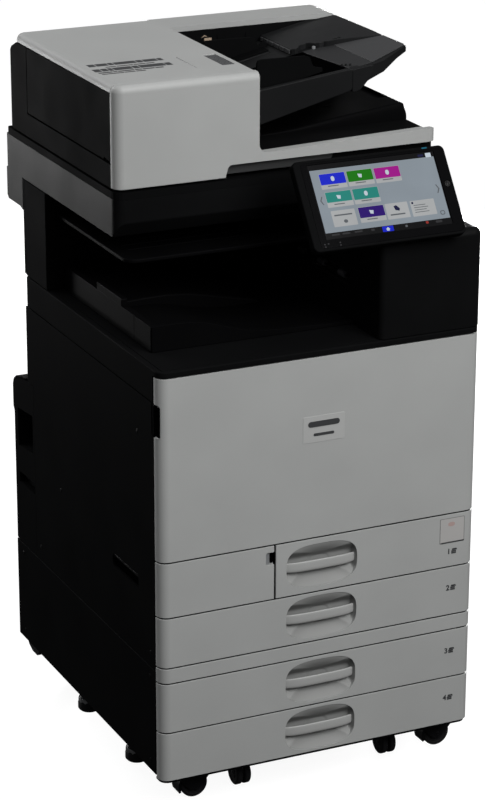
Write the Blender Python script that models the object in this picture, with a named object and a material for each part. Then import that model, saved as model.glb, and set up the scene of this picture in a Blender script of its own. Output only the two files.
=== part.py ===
"""Floor-standing A3 photocopier with a document feeder, a tilting touch panel,
two body drawers and a two-drawer caster bank.

Built in machine coordinates in millimetres (X from the left side, Y from the
front panels towards the back, Z from the floor) and placed so that the origin
is the middle of the footprint, on the floor. The front faces -Y.
"""

import math

import bmesh
import bpy
from mathutils import Matrix, Vector

MM = 0.001

# ---------------------------------------------------------------- dimensions
W = 587.0            # overall width
Y_BACK = 661.0       # rearmost point, behind the front panels
Y_PANEL = -30.3      # front edge of the tilting touch panel
MID_X = W / 2.0
MID_Y = (Y_BACK + Y_PANEL) / 2.0

R_PANEL = 18.0       # plan radius of the front panels' upright edges
T_FRONT = 20.0       # depth of the front panels, round their sides
GAP = 3.0            # seam between two front panels

Z_BASE = 76.0        # bottom of the light front panels
Z_E = 165.0          # seam drawer 4 / drawer 3
Z_D = 255.0          # seam drawer 3 / strip
Z_C = 283.0          # seam strip / drawer 2
Z_B = 373.0          # seam drawer 2 / drawer 1
Z_A = 471.0          # seam drawer 1 / front door
Z_T = 788.0          # top of the front door
Z_BANK = 273.0       # seam bank / main unit on the sides
Z_DECK = 800.0       # floor of the in-body delivery space
Z_COL = 971.0        # top of the right column
Z_SCAN = 976.0       # underside of the scanner
Z_PLATEN = 1053.0    # top of the scanner
Z_TOP = 1228.0       # top of the feeder cover

Y_SHELL = 24.0       # front edge of the side covers
Y_SIDE = 563.0       # back edge of the low side covers
Y_PILLAR = 582.0     # back of the upper body
Y_CAVITY = 484.0     # back wall of the delivery space
Y_UPPER = 168.0      # front face of scanner and feeder
X_COL = 397.0        # left face of the right column
X_SPLIT = 208.0      # seam waste cover / drawer 1

HANDLE_X = 295.0
HANDLE_W = 131.0
HANDLE_H = 70.0
HANDLE_BAR = 16.0

PANEL_TILT = math.radians(54.7)
PANEL_W = 277.0
PANEL_H = 156.0
PANEL_T = 18.0
PANEL_X0 = 261.0
PANEL_TOP = (60.0, 1103.0)      # y, z of the upper front edge
PANEL_AXIS = (28.0, 1006.0)     # y, z of the tilt axis

FEED_AXIS = (4.0, 1103.5)       # x, z of the feeder cover's hinge
ADF_AXIS = (645.0, 1058.5)      # y, z of the feeder unit's rear hinge
DOC_AXIS = (266.0, 1146.0)      # x, z of the document tray's hinge
DOC_SLOPE = math.atan2(1219.0 - 1150.0, 580.0 - 262.0)

WHEEL_R = 25.0
WHEEL_Z = WHEEL_R * math.cos(math.pi / 24.0)    # a flat of the tread rests on the floor
TWIN_R = 22.0
TWIN_Z = TWIN_R * math.cos(math.pi / 24.0)
CASTERS = {                      # x, y of each swivel stem
    "front_left": (72.0, 78.0),
    "front_right": (543.0, 78.0),
    "rear_left": (72.0, 590.0),
    "rear_right": (543.0, 590.0),
}
CASTER_TRAIL = 18.0
TWIN_X = {"left": 184.0, "right": 470.0}
TWIN_Y = 84.0
TONER_X = [84.0, 190.0, 296.0, 402.0]
TONER_Z = 688.0
TONER_R = 40.0


# ---------------------------------------------------------------- scene setup
for old in list(bpy.data.objects):
    bpy.data.objects.remove(old, do_unlink=True)


def material(name, colour, roughness, metallic=0.0):
    mat = bpy.data.materials.new(name)
    mat.use_nodes = True
    shader = mat.node_tree.nodes["Principled BSDF"]
    shader.inputs["Base Color"].default_value = (*colour, 1.0)
    shader.inputs["Roughness"].default_value = roughness
    shader.inputs["Metallic"].default_value = metallic
    mat.diffuse_color = (*colour, 1.0)
    return mat


LIGHT = ("light_plastic", (0.52, 0.53, 0.52), 0.45)
BLACK = ("black_plastic", (0.012, 0.012, 0.014), 0.42)
DARK = ("dark_grey_plastic", (0.045, 0.048, 0.052), 0.5)
MIDGREY = ("mid_grey_plastic", (0.22, 0.23, 0.24), 0.5)
STEEL = ("zinc_steel", (0.56, 0.57, 0.58), 0.35, 1.0)
GLASS = ("dark_glass", (0.02, 0.025, 0.03), 0.05)
SCREEN = ("screen_glass", (0.75, 0.8, 0.85), 0.1)
RUBBER = ("rubber", (0.02, 0.02, 0.02), 0.8)
TONER = ("toner_plastic", (0.1, 0.1, 0.11), 0.45)


# ---------------------------------------------------------------- shape tools
def prism(points, axis, low, high):
    """A closed prism: a counter-clockwise outline swept along one axis.
    axis 'z' takes (x, y) points, 'y' takes (x, z), 'x' takes (y, z)."""
    bm = bmesh.new()
    lift = {
        "z": lambda p, h: (p[0], p[1], h),
        "y": lambda p, h: (p[0], h, p[1]),
        "x": lambda p, h: (h, p[0], p[1]),
    }[axis]
    a = [bm.verts.new(lift(p, low)) for p in points]
    b = [bm.verts.new(lift(p, high)) for p in points]
    bm.faces.new(list(reversed(a)))
    bm.faces.new(b)
    n = len(points)
    for i in range(n):
        j = (i + 1) % n
        bm.faces.new((a[i], a[j], b[j], b[i]))
    bmesh.ops.recalc_face_normals(bm, faces=bm.faces)
    return bm


def block(x0, x1, y0, y1, z0, z1):
    return prism([(x0, y0), (x1, y0), (x1, y1), (x0, y1)], "z", z0, z1)


def round_rect(x0, x1, y0, y1, radii, steps=5):
    """Corner order: (x0,y0), (x1,y0), (x1,y1), (x0,y1)."""
    pts = []
    corners = [(x0, y0, 180), (x1, y0, 270), (x1, y1, 0), (x0, y1, 90)]
    for (x, y, start), r in zip(corners, radii):
        if r <= 0.0:
            pts.append((x, y))
            continue
        cx = x + r if x == x0 else x - r
        cy = y + r if y == y0 else y - r
        for k in range(steps + 1):
            t = math.radians(start + 90.0 * k / steps)
            pts.append((cx + r * math.cos(t), cy + r * math.sin(t)))
    return pts


def disc(axis, centre, radius, low, high, sides=24):
    pts = [
        (
            centre[0] + radius * math.cos(2 * math.pi * (k + 0.5) / sides),
            centre[1] + radius * math.sin(2 * math.pi * (k + 0.5) / sides),
        )
        for k in range(sides)
    ]
    return prism(pts, axis, low, high)


def turned(profile, axis, centre, sides=24):
    """A closed turned solid. profile is a list of (radius, height along the
    axis) from one end to the other; the ends are closed with flat discs."""
    bm = bmesh.new()
    rings = []
    for r, h in profile:
        ring = []
        for k in range(sides):
            t = 2 * math.pi * (k + 0.5) / sides
            p = (centre[0] + r * math.cos(t), centre[1] + r * math.sin(t))
            if axis == "y":
                ring.append(bm.verts.new((p[0], h, p[1])))
            elif axis == "x":
                ring.append(bm.verts.new((h, p[0], p[1])))
            else:
                ring.append(bm.verts.new((p[0], p[1], h)))
        rings.append(ring)
    for lower, upper in zip(rings, rings[1:]):
        for k in range(sides):
            j = (k + 1) % sides
            bm.faces.new((lower[k], lower[j], upper[j], upper[k]))
    bm.faces.new(list(reversed(rings[0])))
    bm.faces.new(rings[-1])
    bmesh.ops.recalc_face_normals(bm, faces=bm.faces)
    return bm


def to_object(name, bm, pivot=(0.0, 0.0, 0.0)):
    """Millimetre machine coordinates in, metres round the pivot out."""
    shift = Matrix.Scale(MM, 4) @ Matrix.Translation(-Vector(pivot))
    bmesh.ops.transform(bm, matrix=shift, verts=bm.verts)
    mesh = bpy.data.meshes.new(name)
    bm.to_mesh(mesh)
    bm.free()
    obj = bpy.data.objects.new(name, mesh)
    bpy.context.scene.collection.objects.link(obj)
    obj.location = Vector(
        ((pivot[0] - MID_X) * MM, (pivot[1] - MID_Y) * MM, pivot[2] * MM)
    )
    return obj


def helper_shape(name, bm, pivot):
    obj = to_object(name, bm, pivot)
    obj.hide_render = True
    obj.display_type = "WIRE"
    return obj


def part(name, look, bm, pivot=(0.0, 0.0, 0.0), cut=(), add=(), bevel=0.0, smooth=False, parent=None):
    """One named sub-part: a base solid, less its cutters, plus its additions."""
    obj = to_object(name, bm, pivot)
    obj.data.materials.append(material(name + "_" + look[0], *look[1:]))
    for kind, shapes in (("DIFFERENCE", cut), ("UNION", add)):
        for k, shape in enumerate(shapes):
            tool = helper_shape("%s_%s_%d" % (name, kind.lower(), k), shape, pivot)
            mod = obj.modifiers.new(kind.title(), "BOOLEAN")
            mod.operation = kind
            mod.solver = "EXACT"
            mod.object = tool
            tool.parent = obj
            tool.location = (0.0, 0.0, 0.0)
    if bevel > 0.0:
        mod = obj.modifiers.new("Bevel", "BEVEL")
        mod.width = bevel * MM
        mod.segments = 1
        mod.limit_method = "ANGLE"
        mod.angle_limit = math.radians(50.0)
        mod.use_clamp_overlap = True
    if smooth:
        obj.data.shade_smooth()
        obj.data.set_sharp_from_angle(angle=math.radians(35.0))
    if parent is not None:
        where = obj.location.copy()
        obj.parent = parent
        obj.location = where - parent.matrix_world.translation
    bpy.context.view_layer.update()
    return obj


def front_outline(x0, x1, inset=0.0):
    """Plan of a front panel: rounded where it meets a side of the machine."""
    left = R_PANEL - inset if x0 <= 0.0 else 1.5
    right = R_PANEL - inset if x1 >= W else 1.5
    left = max(left, 1.5)
    right = max(right, 1.5)
    return round_rect(x0 + inset, x1 - inset, inset, T_FRONT, (left, right, 0.0, 0.0))


# ------------------------------------------------------------- caster bank
def rails(x_left, x_right, mid, depth):
    """A pair of drawer rails, fixed to the walls on either side."""
    return [
        block(x_left - 6.0, x_left - 0.5, 44.0, depth, mid - 9.0, mid + 9.0),
        block(x_right + 0.5, x_right + 6.0, 44.0, depth, mid - 9.0, mid + 9.0),
    ]


bank_cut = [block(14.0, 566.0, 20.0, 644.0, 80.0, 266.0)]
bank_add = rails(18.0, 562.0, 112.0, 530.0) + rails(18.0, 562.0, 202.0, 530.0)
for fx in (45.0, 545.0):
    for fy in (212.0, 432.0):
        bank_add.append(
            turned([(16.0, 16.0), (20.0, 22.0), (20.0, 40.0), (9.0, 44.0), (9.0, 75.0)], "z", (fx, fy), 12)
        )
for tx in TWIN_X.values():
    bank_add.append(
        prism(
            [
                (TWIN_Y - 13.0, 78.0), (TWIN_Y - 11.0, 15.0), (TWIN_Y - 7.0, 15.0), (TWIN_Y - 7.0, 29.5),
                (TWIN_Y + 7.0, 29.5), (TWIN_Y + 7.0, 15.0), (TWIN_Y + 11.0, 15.0), (TWIN_Y + 13.0, 78.0),
            ],
            "x", tx - 2.5, tx + 2.5,
        )
    )
bank_frame = part(
    "bank_frame", STEEL,
    block(8.0, 572.0, 24.0, 650.0, 73.0, 272.5),
    cut=bank_cut, add=bank_add,
)
part("bank_left_cover", BLACK, block(0.0, 7.5, Y_SHELL, 650.0, 81.0, 272.6), bevel=1.5)
part("bank_right_cover", BLACK, block(572.5, 587.0, Y_SHELL, 650.0, 81.0, 272.6), bevel=1.5)
part(
    "bank_front_strip", LIGHT,
    prism(front_outline(0.0, W), "z", Z_D + GAP / 2, Z_C - GAP / 2), smooth=True,
)

# --------------------------------------------------------------- main chassis
part(
    "main_frame", STEEL,
    block(8.0, 572.0, 24.0, 562.0, 273.5, 742.5),
    cut=[
        block(14.0, 566.0, 20.0, 556.0, 280.0, 467.0),
        block(14.0, 566.0, 20.0, 556.0, 475.0, 736.0),
    ],
    add=[
        # compartment of the waste toner bottle, left of the upper drawer
        block(12.0, 214.0, 26.0, 558.0, 376.0, 380.0),
        block(209.0, 214.0, 26.0, 558.0, 378.0, 470.0),
    ] + rails(17.2, 562.8, 320.0, 520.0) + rails(220.0, 562.0, 410.0, 520.0),
)
part(
    "left_cover", BLACK,
    prism(
        [(Y_SHELL, 273.5), (Y_SIDE - 0.5, 273.5), (Y_SIDE - 0.5, 600.5), (Y_PILLAR, 600.5), (Y_PILLAR, 742.5), (Y_SHELL, 742.5)],
        "x", 0.0, 7.5,
    ),
    cut=[prism([(90.0, 396.0), (200.0, 396.0), (200.0, 418.0), (90.0, 418.0)], "x", -1.0, 5.0)],
    bevel=1.2,
)
part(
    "right_cover", BLACK,
    prism(
        [(Y_SHELL, 273.5), (Y_SIDE - 0.5, 273.5), (Y_SIDE - 0.5, 600.5), (Y_PILLAR, 600.5), (Y_PILLAR, 742.5), (Y_SHELL, 742.5)],
        "x", 572.5, 587.0,
    ),
    cut=[block(570.0, 590.0, 88.0, 522.0, 326.0, 726.0)],
)
# Rear housing: the low body is deeper than the upper body and bulges above.
rear_outline = [
    (Y_SIDE, 273.5), (650.0, 273.5), (650.0, 524.0), (661.0, 530.0), (661.0, 573.0),
    (656.0, 584.0), (645.0, 591.0), (624.0, 596.0), (600.0, 599.5), (Y_SIDE, 599.5),
]
rear_inner = [
    (Y_SIDE - 5.0, 280.0), (643.0, 280.0), (643.0, 528.0), (654.0, 534.0), (654.0, 571.0),
    (641.0, 585.0), (600.0, 593.0), (Y_SIDE - 5.0, 593.0),
]
part(
    "rear_cover", BLACK,
    prism(rear_outline, "x", 0.0, W),
    cut=[
        prism(rear_inner, "x", 42.0, W - 7.0),
        prism([(570.0, 470.0), (644.0, 462.0), (644.0, 534.0), (570.0, 541.0)], "x", -1.0, 26.0),
        prism([(566.0, 392.0), (642.0, 392.0), (642.0, 412.0), (566.0, 412.0)], "x", -1.0, 12.0),
        block(440.0, 492.0, 640.0, 655.0, 296.0, 332.0),
    ],
    add=[
        # upright panel that closes the upper body's back
        block(8.0, 572.0, Y_SIDE + 6.0, Y_PILLAR, 594.0, 742.5),
    ],
)
part(
    "power_inlet", BLACK,
    block(441.0, 491.0, 628.0, 647.0, 297.0, 331.0),
    cut=[
        prism(
            round_rect(447.0, 485.0, 302.0, 326.0, (2.0, 2.0, 7.0, 7.0), 2), "y", 632.0, 650.0
        ),
    ],
    add=[block(464.0, 468.0, 630.0, 643.0, 317.0, 321.0), block(454.0, 458.0, 630.0, 643.0, 307.0, 311.0), block(474.0, 478.0, 630.0, 643.0, 307.0, 311.0)],
)

# Deck: a hollow tray over the frame whose front lip shows above the door.
deck_outline = round_rect(0.0, W, 0.0, Y_PILLAR, (R_PANEL, R_PANEL, 0.0, 0.0))
part(
    "top_deck", BLACK,
    prism(deck_outline, "z", 743.5, Z_DECK),
    cut=[
        block(-5.0, W + 5.0, -5.0, 24.0, 700.0, Z_T + 1.8),
        block(7.0, W - 7.0, 31.0, Y_PILLAR - 7.0, 700.0, 793.0),
    ],
    smooth=True,
)
part(
    "upper_rear_housing", BLACK,
    block(0.0, W, Y_CAVITY, Y_PILLAR, Z_DECK + 0.5, Z_SCAN - 0.5),
    cut=[block(10.0, W - 10.0, Y_CAVITY + 6.0, Y_PILLAR - 6.0, Z_DECK - 8.0, Z_SCAN - 8.0)],
    bevel=1.5,
)
part(
    "right_column", BLACK,
    prism(round_rect(X_COL, W, 0.0, Y_CAVITY - 0.5, (10.0, 16.0, 0.0, 0.0)), "z", Z_DECK + 0.5, Z_COL),
    add=[
        # neck and barrel that carry the tilting panel
        prism([(14.0, Z_COL - 3.0), (62.0, Z_COL - 3.0), (50.0, 1000.0), (34.0, 1012.0), (19.0, 1006.0)], "x", 412.0, 471.0),
        disc("x", PANEL_AXIS, 10.5, 405.0, 478.0, 16),
        block(413.0, 470.0, 40.0, 150.0, Z_COL - 3.0, 988.0),
    ],
    cut=[
        block(X_COL + 5.0, W - 5.0, 6.0, Y_CAVITY - 6.0, Z_DECK - 5.0, Z_COL - 5.0),
        block(X_COL - 5.0, X_COL + 8.0, 110.0, 440.0, 862.0, 886.0),
        block(X_COL - 5.0, X_COL + 8.0, 110.0, 440.0, 944.0, 958.0),
    ],
    smooth=True,
)
tray_profile = [
    (30.0, Z_DECK + 0.5), (X_COL - 0.5, Z_DECK + 0.5), (X_COL - 0.5, 807.0), (310.0, 809.0),
    (240.0, 812.0), (190.0, 819.0), (150.0, 832.0), (120.0, 841.0), (95.0, 844.5),
    (60.0, 845.0), (38.0, 843.0), (30.0, 836.0),
]
part(
    "exit_tray", DARK,
    prism(tray_profile, "y", 98.0, Y_CAVITY - 0.5),
    cut=[
        prism([(62.0, 826.0), (388.0, 804.0), (388.0, 860.0), (62.0, 860.0)], "y", 128.0, Y_CAVITY - 30.0),
    ],
)
part(
    "inner_shelf", DARK,
    prism(round_rect(20.0, X_COL - 0.5, 172.0, Y_CAVITY - 0.5, (22.0, 0.0, 0.0, 0.0)), "z", 932.0, 937.0),
)

# ------------------------------------------------------------------- scanner
scan_outline = round_rect(0.0, W, Y_UPPER, Y_BACK, (18.0, 18.0, 6.0, 6.0))
part(
    "scanner_housing", BLACK,
    prism(scan_outline, "z", Z_SCAN, 1040.0),
    cut=[
        block(14.0, W - 14.0, 186.0, 640.0, 990.0, 1050.0),
        prism([(150.0, 960.0), (184.0, 960.0), (184.0, Z_SCAN), (Y_UPPER, Z_SCAN + 22.0), (150.0, Z_SCAN + 22.0)], "x", -10.0, W + 10.0),
    ],
    add=[
        # the back hangs down behind the upper rear housing
        prism([(Y_PILLAR + 0.5, 916.0), (603.0, 922.0), (Y_BACK, 922.0), (Y_BACK, Z_SCAN + 3.0), (Y_PILLAR + 0.5, Z_SCAN + 3.0)], "x", 0.0, W),
        # rails the carriage runs on
        block(22.0, 566.0, 214.0, 226.0, 988.0, 995.5),
        block(22.0, 566.0, 494.0, 506.0, 988.0, 995.5),
    ],
    smooth=True,
)
platen_cut = [
    block(118.0, 560.0, 206.0, 512.0, 1046.5, 1060.0),
    block(124.0, 554.0, 212.0, 506.0, 1030.0, 1060.0),
    block(58.0, 92.0, 206.0, 512.0, 1030.0, 1060.0),
]
platen_add = []
for hx in (96.0, 152.0, 420.0, 476.0):
    platen_add.append(block(hx, hx + 14.0, 647.0, 658.0, 1050.0, 1067.0))
part(
    "platen_frame", BLACK,
    prism(scan_outline, "z", 1040.5, Z_PLATEN),
    cut=platen_cut, add=platen_add, smooth=True,
)
part(
    "platen_glass", GLASS,
    block(118.5, 559.5, 206.5, 511.5, 1047.0, 1051.0),
)
part(
    "scan_carriage", DARK,
    block(50.0, 100.0, 200.0, 520.0, 996.0, 1034.0),
    cut=[block(58.0, 92.0, 206.0, 514.0, 1006.0, 1040.0)],
    pivot=(75.0, 360.0, 996.0),
)

# ---------------------------------------------------------- inside the door
holes = [disc("y", (x, TONER_Z), TONER_R + 2.5, 20.0, 60.0, 20) for x in TONER_X]
part(
    "inner_front_cover", MIDGREY,
    block(15.0, 565.0, 30.0, 35.0, 476.0, 735.5),
    cut=holes,
    # shelf the toner bottles lie on
    add=[block(36.0, 450.0, 33.0, 350.0, 638.0, 646.5)],
)
for n, x in enumerate(TONER_X, 1):
    r = TONER_R
    part(
        "toner_bottle_%d" % n, TONER,
        turned([(r - 6, 24.5), (r, 27.0), (r, 60.0), (r - 3, 66.0), (r - 3, 340.0), (r - 18, 362.0), (r - 18, 400.0)], "y", (x, TONER_Z), 20),
        pivot=(x, 200.0, TONER_Z), smooth=True,
    )
part(
    "process_unit", DARK,
    block(30.0, 440.0, 40.0, 440.0, 475.5, 620.0), bevel=3.0,
)
part(
    "fuser_unit", MIDGREY,
    block(462.0, 565.5, 40.0, 440.0, 600.0, 720.0), bevel=3.0,
)
part(
    "waste_toner_bottle", MIDGREY,
    block(24.0, 196.0, 27.0, 400.0, 380.5, 462.0), bevel=5.0,
    cut=[],
)

# --------------------------------------------------------------- front door
DOOR_AXIS = (580.0, 11.0)
part(
    "front_door", LIGHT,
    prism(front_outline(0.0, W), "z", Z_A + GAP / 2, Z_T),
    pivot=(DOOR_AXIS[0], DOOR_AXIS[1], Z_A + GAP / 2),
    cut=[
        prism(round_rect(4.0, W - 4.0, 4.0, T_FRONT + 5.0, (14.0, 14.0, 0.0, 0.0)), "z", Z_A + 5.5, Z_T - 4.0),
        block(-5.0, 5.0, 2.5, T_FRONT + 5.0, 686.0, 743.0),
    ],
    smooth=True,
)
part(
    "waste_toner_cover", LIGHT,
    prism(front_outline(0.0, X_SPLIT - GAP / 2), "z", Z_B + GAP / 2, Z_A - GAP / 2),
    pivot=(7.0, 11.0, Z_B + GAP / 2),
    cut=[
        prism(round_rect(4.0, X_SPLIT - GAP / 2 - 4.0, 6.0, T_FRONT + 5.0, (12.0, 0.0, 0.0, 0.0)), "z", Z_B + 5.5, Z_A - 5.5),
        prism(round_rect(191.0, 220.0, 436.0, 459.0, (3.0, 0.0, 0.0, 3.0), 2), "y", -5.0, 4.0),
    ],
    smooth=True,
)


# ------------------------------------------------------------------ drawers
def drawer(number, x0, z0, z1, box_x0, box_x1, box_depth):
    mid = (z0 + z1) / 2.0
    half = HANDLE_H / 2.0
    pocket = round_rect(
        HANDLE_X - HANDLE_W / 2, HANDLE_X + HANDLE_W / 2, mid - half, mid + half, (30.0,) * 4, 4
    )
    bar = prism(
        [
            (HANDLE_X - HANDLE_W / 2 - 3.0, 4.0), (HANDLE_X - 40.0, 1.2), (HANDLE_X + 40.0, 1.2),
            (HANDLE_X + HANDLE_W / 2 + 3.0, 4.0), (HANDLE_X + HANDLE_W / 2 + 3.0, 10.0), (HANDLE_X - HANDLE_W / 2 - 3.0, 10.0),
        ],
        "z", mid - HANDLE_BAR / 2, mid + HANDLE_BAR / 2,
    )
    front = part(
        "tray_%d_front" % number, LIGHT,
        prism(front_outline(x0, W), "z", z0 + GAP / 2, z1 - GAP / 2),
        pivot=(HANDLE_X, 0.0, mid),
        cut=[prism(pocket, "y", -5.0, 16.0)],
        add=[bar],
        smooth=True,
    )
    part(
        "tray_%d_box" % number, DARK,
        block(box_x0, box_x1, T_FRONT + 0.5, T_FRONT + box_depth, z0 + 9.0, z1 - 11.0),
        pivot=(HANDLE_X, 0.0, mid),
        cut=[block(box_x0 + 5.0, box_x1 - 5.0, T_FRONT + 8.0, T_FRONT + box_depth - 5.0, z0 + 14.0, z1 + 20.0)],
        parent=front,
    )


drawer(1, X_SPLIT + GAP / 2, Z_B, Z_A, 222.0, 562.0, 520.0)
drawer(2, 0.0, Z_C, Z_B, 18.0, 562.0, 520.0)
drawer(3, 0.0, Z_E, Z_D, 18.0, 562.0, 520.0)
drawer(4, 0.0, Z_BASE, Z_E, 18.0, 562.0, 520.0)

# --------------------------------------------------------------- right side
part(
    "right_door", BLACK,
    block(574.0, 587.0, 90.0, 520.0, 330.0, 724.0),
    pivot=(582.0, 305.0, 335.0),
    cut=[block(577.5, 590.0, 148.0, 462.0, 486.0, 694.0)],
    bevel=1.5,
)
part(
    "bypass_tray", BLACK,
    block(580.0, 587.0, 150.0, 460.0, 488.0, 692.0),
    pivot=(585.0, 305.0, 492.0),
    bevel=1.5,
)

# ------------------------------------------------------------ feeder unit
base_profile = [          # seen from the front: x, z
    (0.0, 1056.5), (W, 1056.5), (W, 1091.0), (256.0, 1091.0), (250.0, 1096.5), (0.0, 1096.5),
]
adf_add = [
    # ramp of the originals' output area
    prism([(262.0, 1088.0), (W - 1.0, 1088.0), (W - 1.0, 1116.0), (575.0, 1121.0), (540.0, 1117.0)], "y", 276.0, 548.0),
    # rear left tower and the feeder's rear wall
    prism([(560.0, 1090.0), (636.0, 1090.0), (636.0, 1195.0), (606.0, 1213.0), (560.0, 1213.0)], "x", 0.0, 255.5),
    # rear wall behind the document tray
    block(250.0, W - 2.0, 552.0, 636.0, 1085.0, 1194.0),
]
for hx in (112.0, 436.0):
    adf_add.append(block(hx, hx + 38.0, 630.0, 650.0, 1062.0, 1098.0))
adf_base = part(
    "adf_base", BLACK,
    prism(base_profile, "y", 187.0, 636.0),
    pivot=(MID_X, ADF_AXIS[0], ADF_AXIS[1]),
    add=adf_add,
)
front_cover_outline = round_rect(0.0, W, Y_UPPER, 186.5, (17.0, 17.0, 0.0, 0.0))
part(
    "adf_front_cover", LIGHT,
    prism(front_cover_outline, "z", 1057.0, 1222.0),
    pivot=(MID_X, ADF_AXIS[0], ADF_AXIS[1]), parent=adf_base,
    cut=[
        prism([(256.0, 1102.0), (W + 10.0, 1102.0), (W + 10.0, 1240.0), (256.0, 1240.0)], "y", 150.0, 200.0),
        prism([(206.0, 1040.0), (W + 10.0, 1040.0), (W + 10.0, 1078.5), (212.0, 1078.5), (206.0, 1073.0)], "y", 150.0, 180.0),
        prism([(160.0, 1212.0), (178.0, 1230.0), (160.0, 1230.0)], "x", -10.0, W + 10.0),
    ],
    smooth=True,
)
part(
    "adf_rear_cover", LIGHT,
    prism([(552.0, 1194.5), (638.0, 1194.5), (640.0, 1200.0), (640.0, 1212.0), (632.0, 1221.0), (552.0, 1221.0)], "x", 258.0, W - 1.0),
    pivot=(MID_X, ADF_AXIS[0], ADF_AXIS[1]), parent=adf_base,
    cut=[prism([(W - 30.0, 1225.0), (W + 4.0, 1200.0), (W + 4.0, 1225.0)], "y", 540.0, 650.0)],
)
part(
    "pickup_roller", RUBBER,
    turned([(5.0, 187.5), (5.0, 330.0), (12.0, 331.0), (12.0, 409.0), (5.0, 410.0), (5.0, 559.0)], "y", (226.0, 1122.0), 16),
    pivot=(226.0, 370.0, 1122.0), parent=adf_base, smooth=True,
)

# Feeder cover: opens to the left about the lower edge of its black side.
cover_outline = round_rect(0.0, 256.0, 1214.0, Z_TOP, (0.0, 0.0, 6.0, 6.0), 2)
feeder_cover = part(
    "feeder_cover", LIGHT,
    prism(cover_outline, "y", 187.5, 605.0),
    pivot=(FEED_AXIS[0], 380.0, FEED_AXIS[1]),
    cut=[
        block(5.0, 251.0, 192.0, 556.0, 1200.0, 1223.0),
        block(10.0, 246.0, 186.0, 240.0, 1200.0, 1212.0),
    ],
    parent=adf_base,
)
part(
    "feeder_side_cover", BLACK,
    prism([(188.0, 1099.0), (558.0, 1099.0), (558.0, 1213.5), (188.0, 1213.5)], "x", 0.0, 5.0),
    pivot=(FEED_AXIS[0], 380.0, FEED_AXIS[1]), parent=feeder_cover,
)

# Document tray: a sloping plate with a front fence, lifting at its right end.
doc_plate = [
    (262.0, 1128.0), (472.0, 1164.0), (500.0, 1178.0), (572.0, 1211.0), (583.0, 1217.0),
    (580.0, 1219.0), (262.0, 1150.0),
]
doc_fence = [(262.0, 1112.0), (472.0, 1163.0), (472.0, 1197.0), (262.0, 1176.0)]
doc_tray = part(
    "document_tray", DARK,
    prism(doc_plate, "y", 246.0, 548.0),
    pivot=(DOC_AXIS[0], 400.0, DOC_AXIS[1]), parent=adf_base,
    add=[prism(doc_fence, "y", 240.0, 250.0)],
    cut=[prism([(500.0, 240.0), (600.0, 240.0), (600.0, 300.0)], "z", 1100.0, 1300.0)],
)


def slope_z(x):
    return 1150.0 + (x - 262.0) * math.tan(DOC_SLOPE)


def guide(name, y0, y1, y_foot):
    pts = [
        (284.0, slope_z(284.0) + 0.6), (430.0, slope_z(430.0) + 0.6),
        (430.0, slope_z(430.0) + 8.0), (415.0, slope_z(415.0) + 22.0), (284.0, slope_z(284.0) + 26.0),
    ]
    low, high = min(y0, y_foot), max(y1, y_foot)
    foot = prism(
        [(300.0, slope_z(300.0) + 0.6), (420.0, slope_z(420.0) + 0.6), (420.0, slope_z(420.0) + 4.0), (300.0, slope_z(300.0) + 4.0)],
        "y", low, high,
    )
    return part(name, DARK, prism(pts, "y", y0, y1), pivot=(357.0, (y0 + y1) / 2, slope_z(357.0)), add=[foot], parent=doc_tray)


guide("document_guide_front", 288.0, 293.0, 318.0)
guide("document_guide_rear", 503.0, 508.0, 478.0)

# ----------------------------------------------------------- touch panel
n_y, n_z = -math.sin(PANEL_TILT), math.cos(PANEL_TILT)      # out of the screen
d_y, d_z = -math.cos(PANEL_TILT), -math.sin(PANEL_TILT)     # down the screen


def on_panel(down, out):
    return (PANEL_TOP[0] + down * d_y + out * n_y, PANEL_TOP[1] + down * d_z + out * n_z)


def slab(x0, x1, down0, down1, out0, out1, radius=0.0, steps=4):
    """A rounded slab lying in the tilted plane of the panel."""
    pts = round_rect(x0, x1, down0, down1, (radius,) * 4, steps)
    bm = bmesh.new()
    lower = [bm.verts.new((p[0], *on_panel(p[1], out0))) for p in pts]
    upper = [bm.verts.new((p[0], *on_panel(p[1], out1))) for p in pts]
    bm.faces.new(lower)
    bm.faces.new(list(reversed(upper)))
    n = len(pts)
    for i in range(n):
        j = (i + 1) % n
        bm.faces.new((lower[i], upper[i], upper[j], lower[j]))
    bmesh.ops.recalc_face_normals(bm, faces=bm.faces)
    return bm


HINGE = (MID_X, PANEL_AXIS[0], PANEL_AXIS[1])
panel = part(
    "operation_panel", BLACK,
    slab(PANEL_X0, PANEL_X0 + PANEL_W, 0.0, PANEL_H, -PANEL_T, 0.0, 10.0),
    pivot=HINGE,
    cut=[
        slab(PANEL_X0 + 27.0, PANEL_X0 + PANEL_W - 21.0, 9.0, PANEL_H - 20.0, -2.5, 5.0, 2.0, 2),
        slab(PANEL_X0 + PANEL_W - 17.0, PANEL_X0 + PANEL_W - 5.0, 62.0, 74.0, -3.5, 5.0, 6.0, 4),
    ],
    smooth=True,
)
part(
    "touch_screen", SCREEN,
    slab(PANEL_X0 + 27.4, PANEL_X0 + PANEL_W - 21.4, 9.4, PANEL_H - 20.4, -2.2, -0.4, 1.6, 2),
    pivot=HINGE, parent=panel,
)
part(
    "home_button", MIDGREY,
    slab(PANEL_X0 + PANEL_W - 16.5, PANEL_X0 + PANEL_W - 5.5, 62.5, 73.5, -1.7, 0.6, 5.5, 4),
    pivot=(PANEL_X0 + PANEL_W - 11.0, *on_panel(68.0, 0.0)), parent=panel, smooth=True,
)

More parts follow.
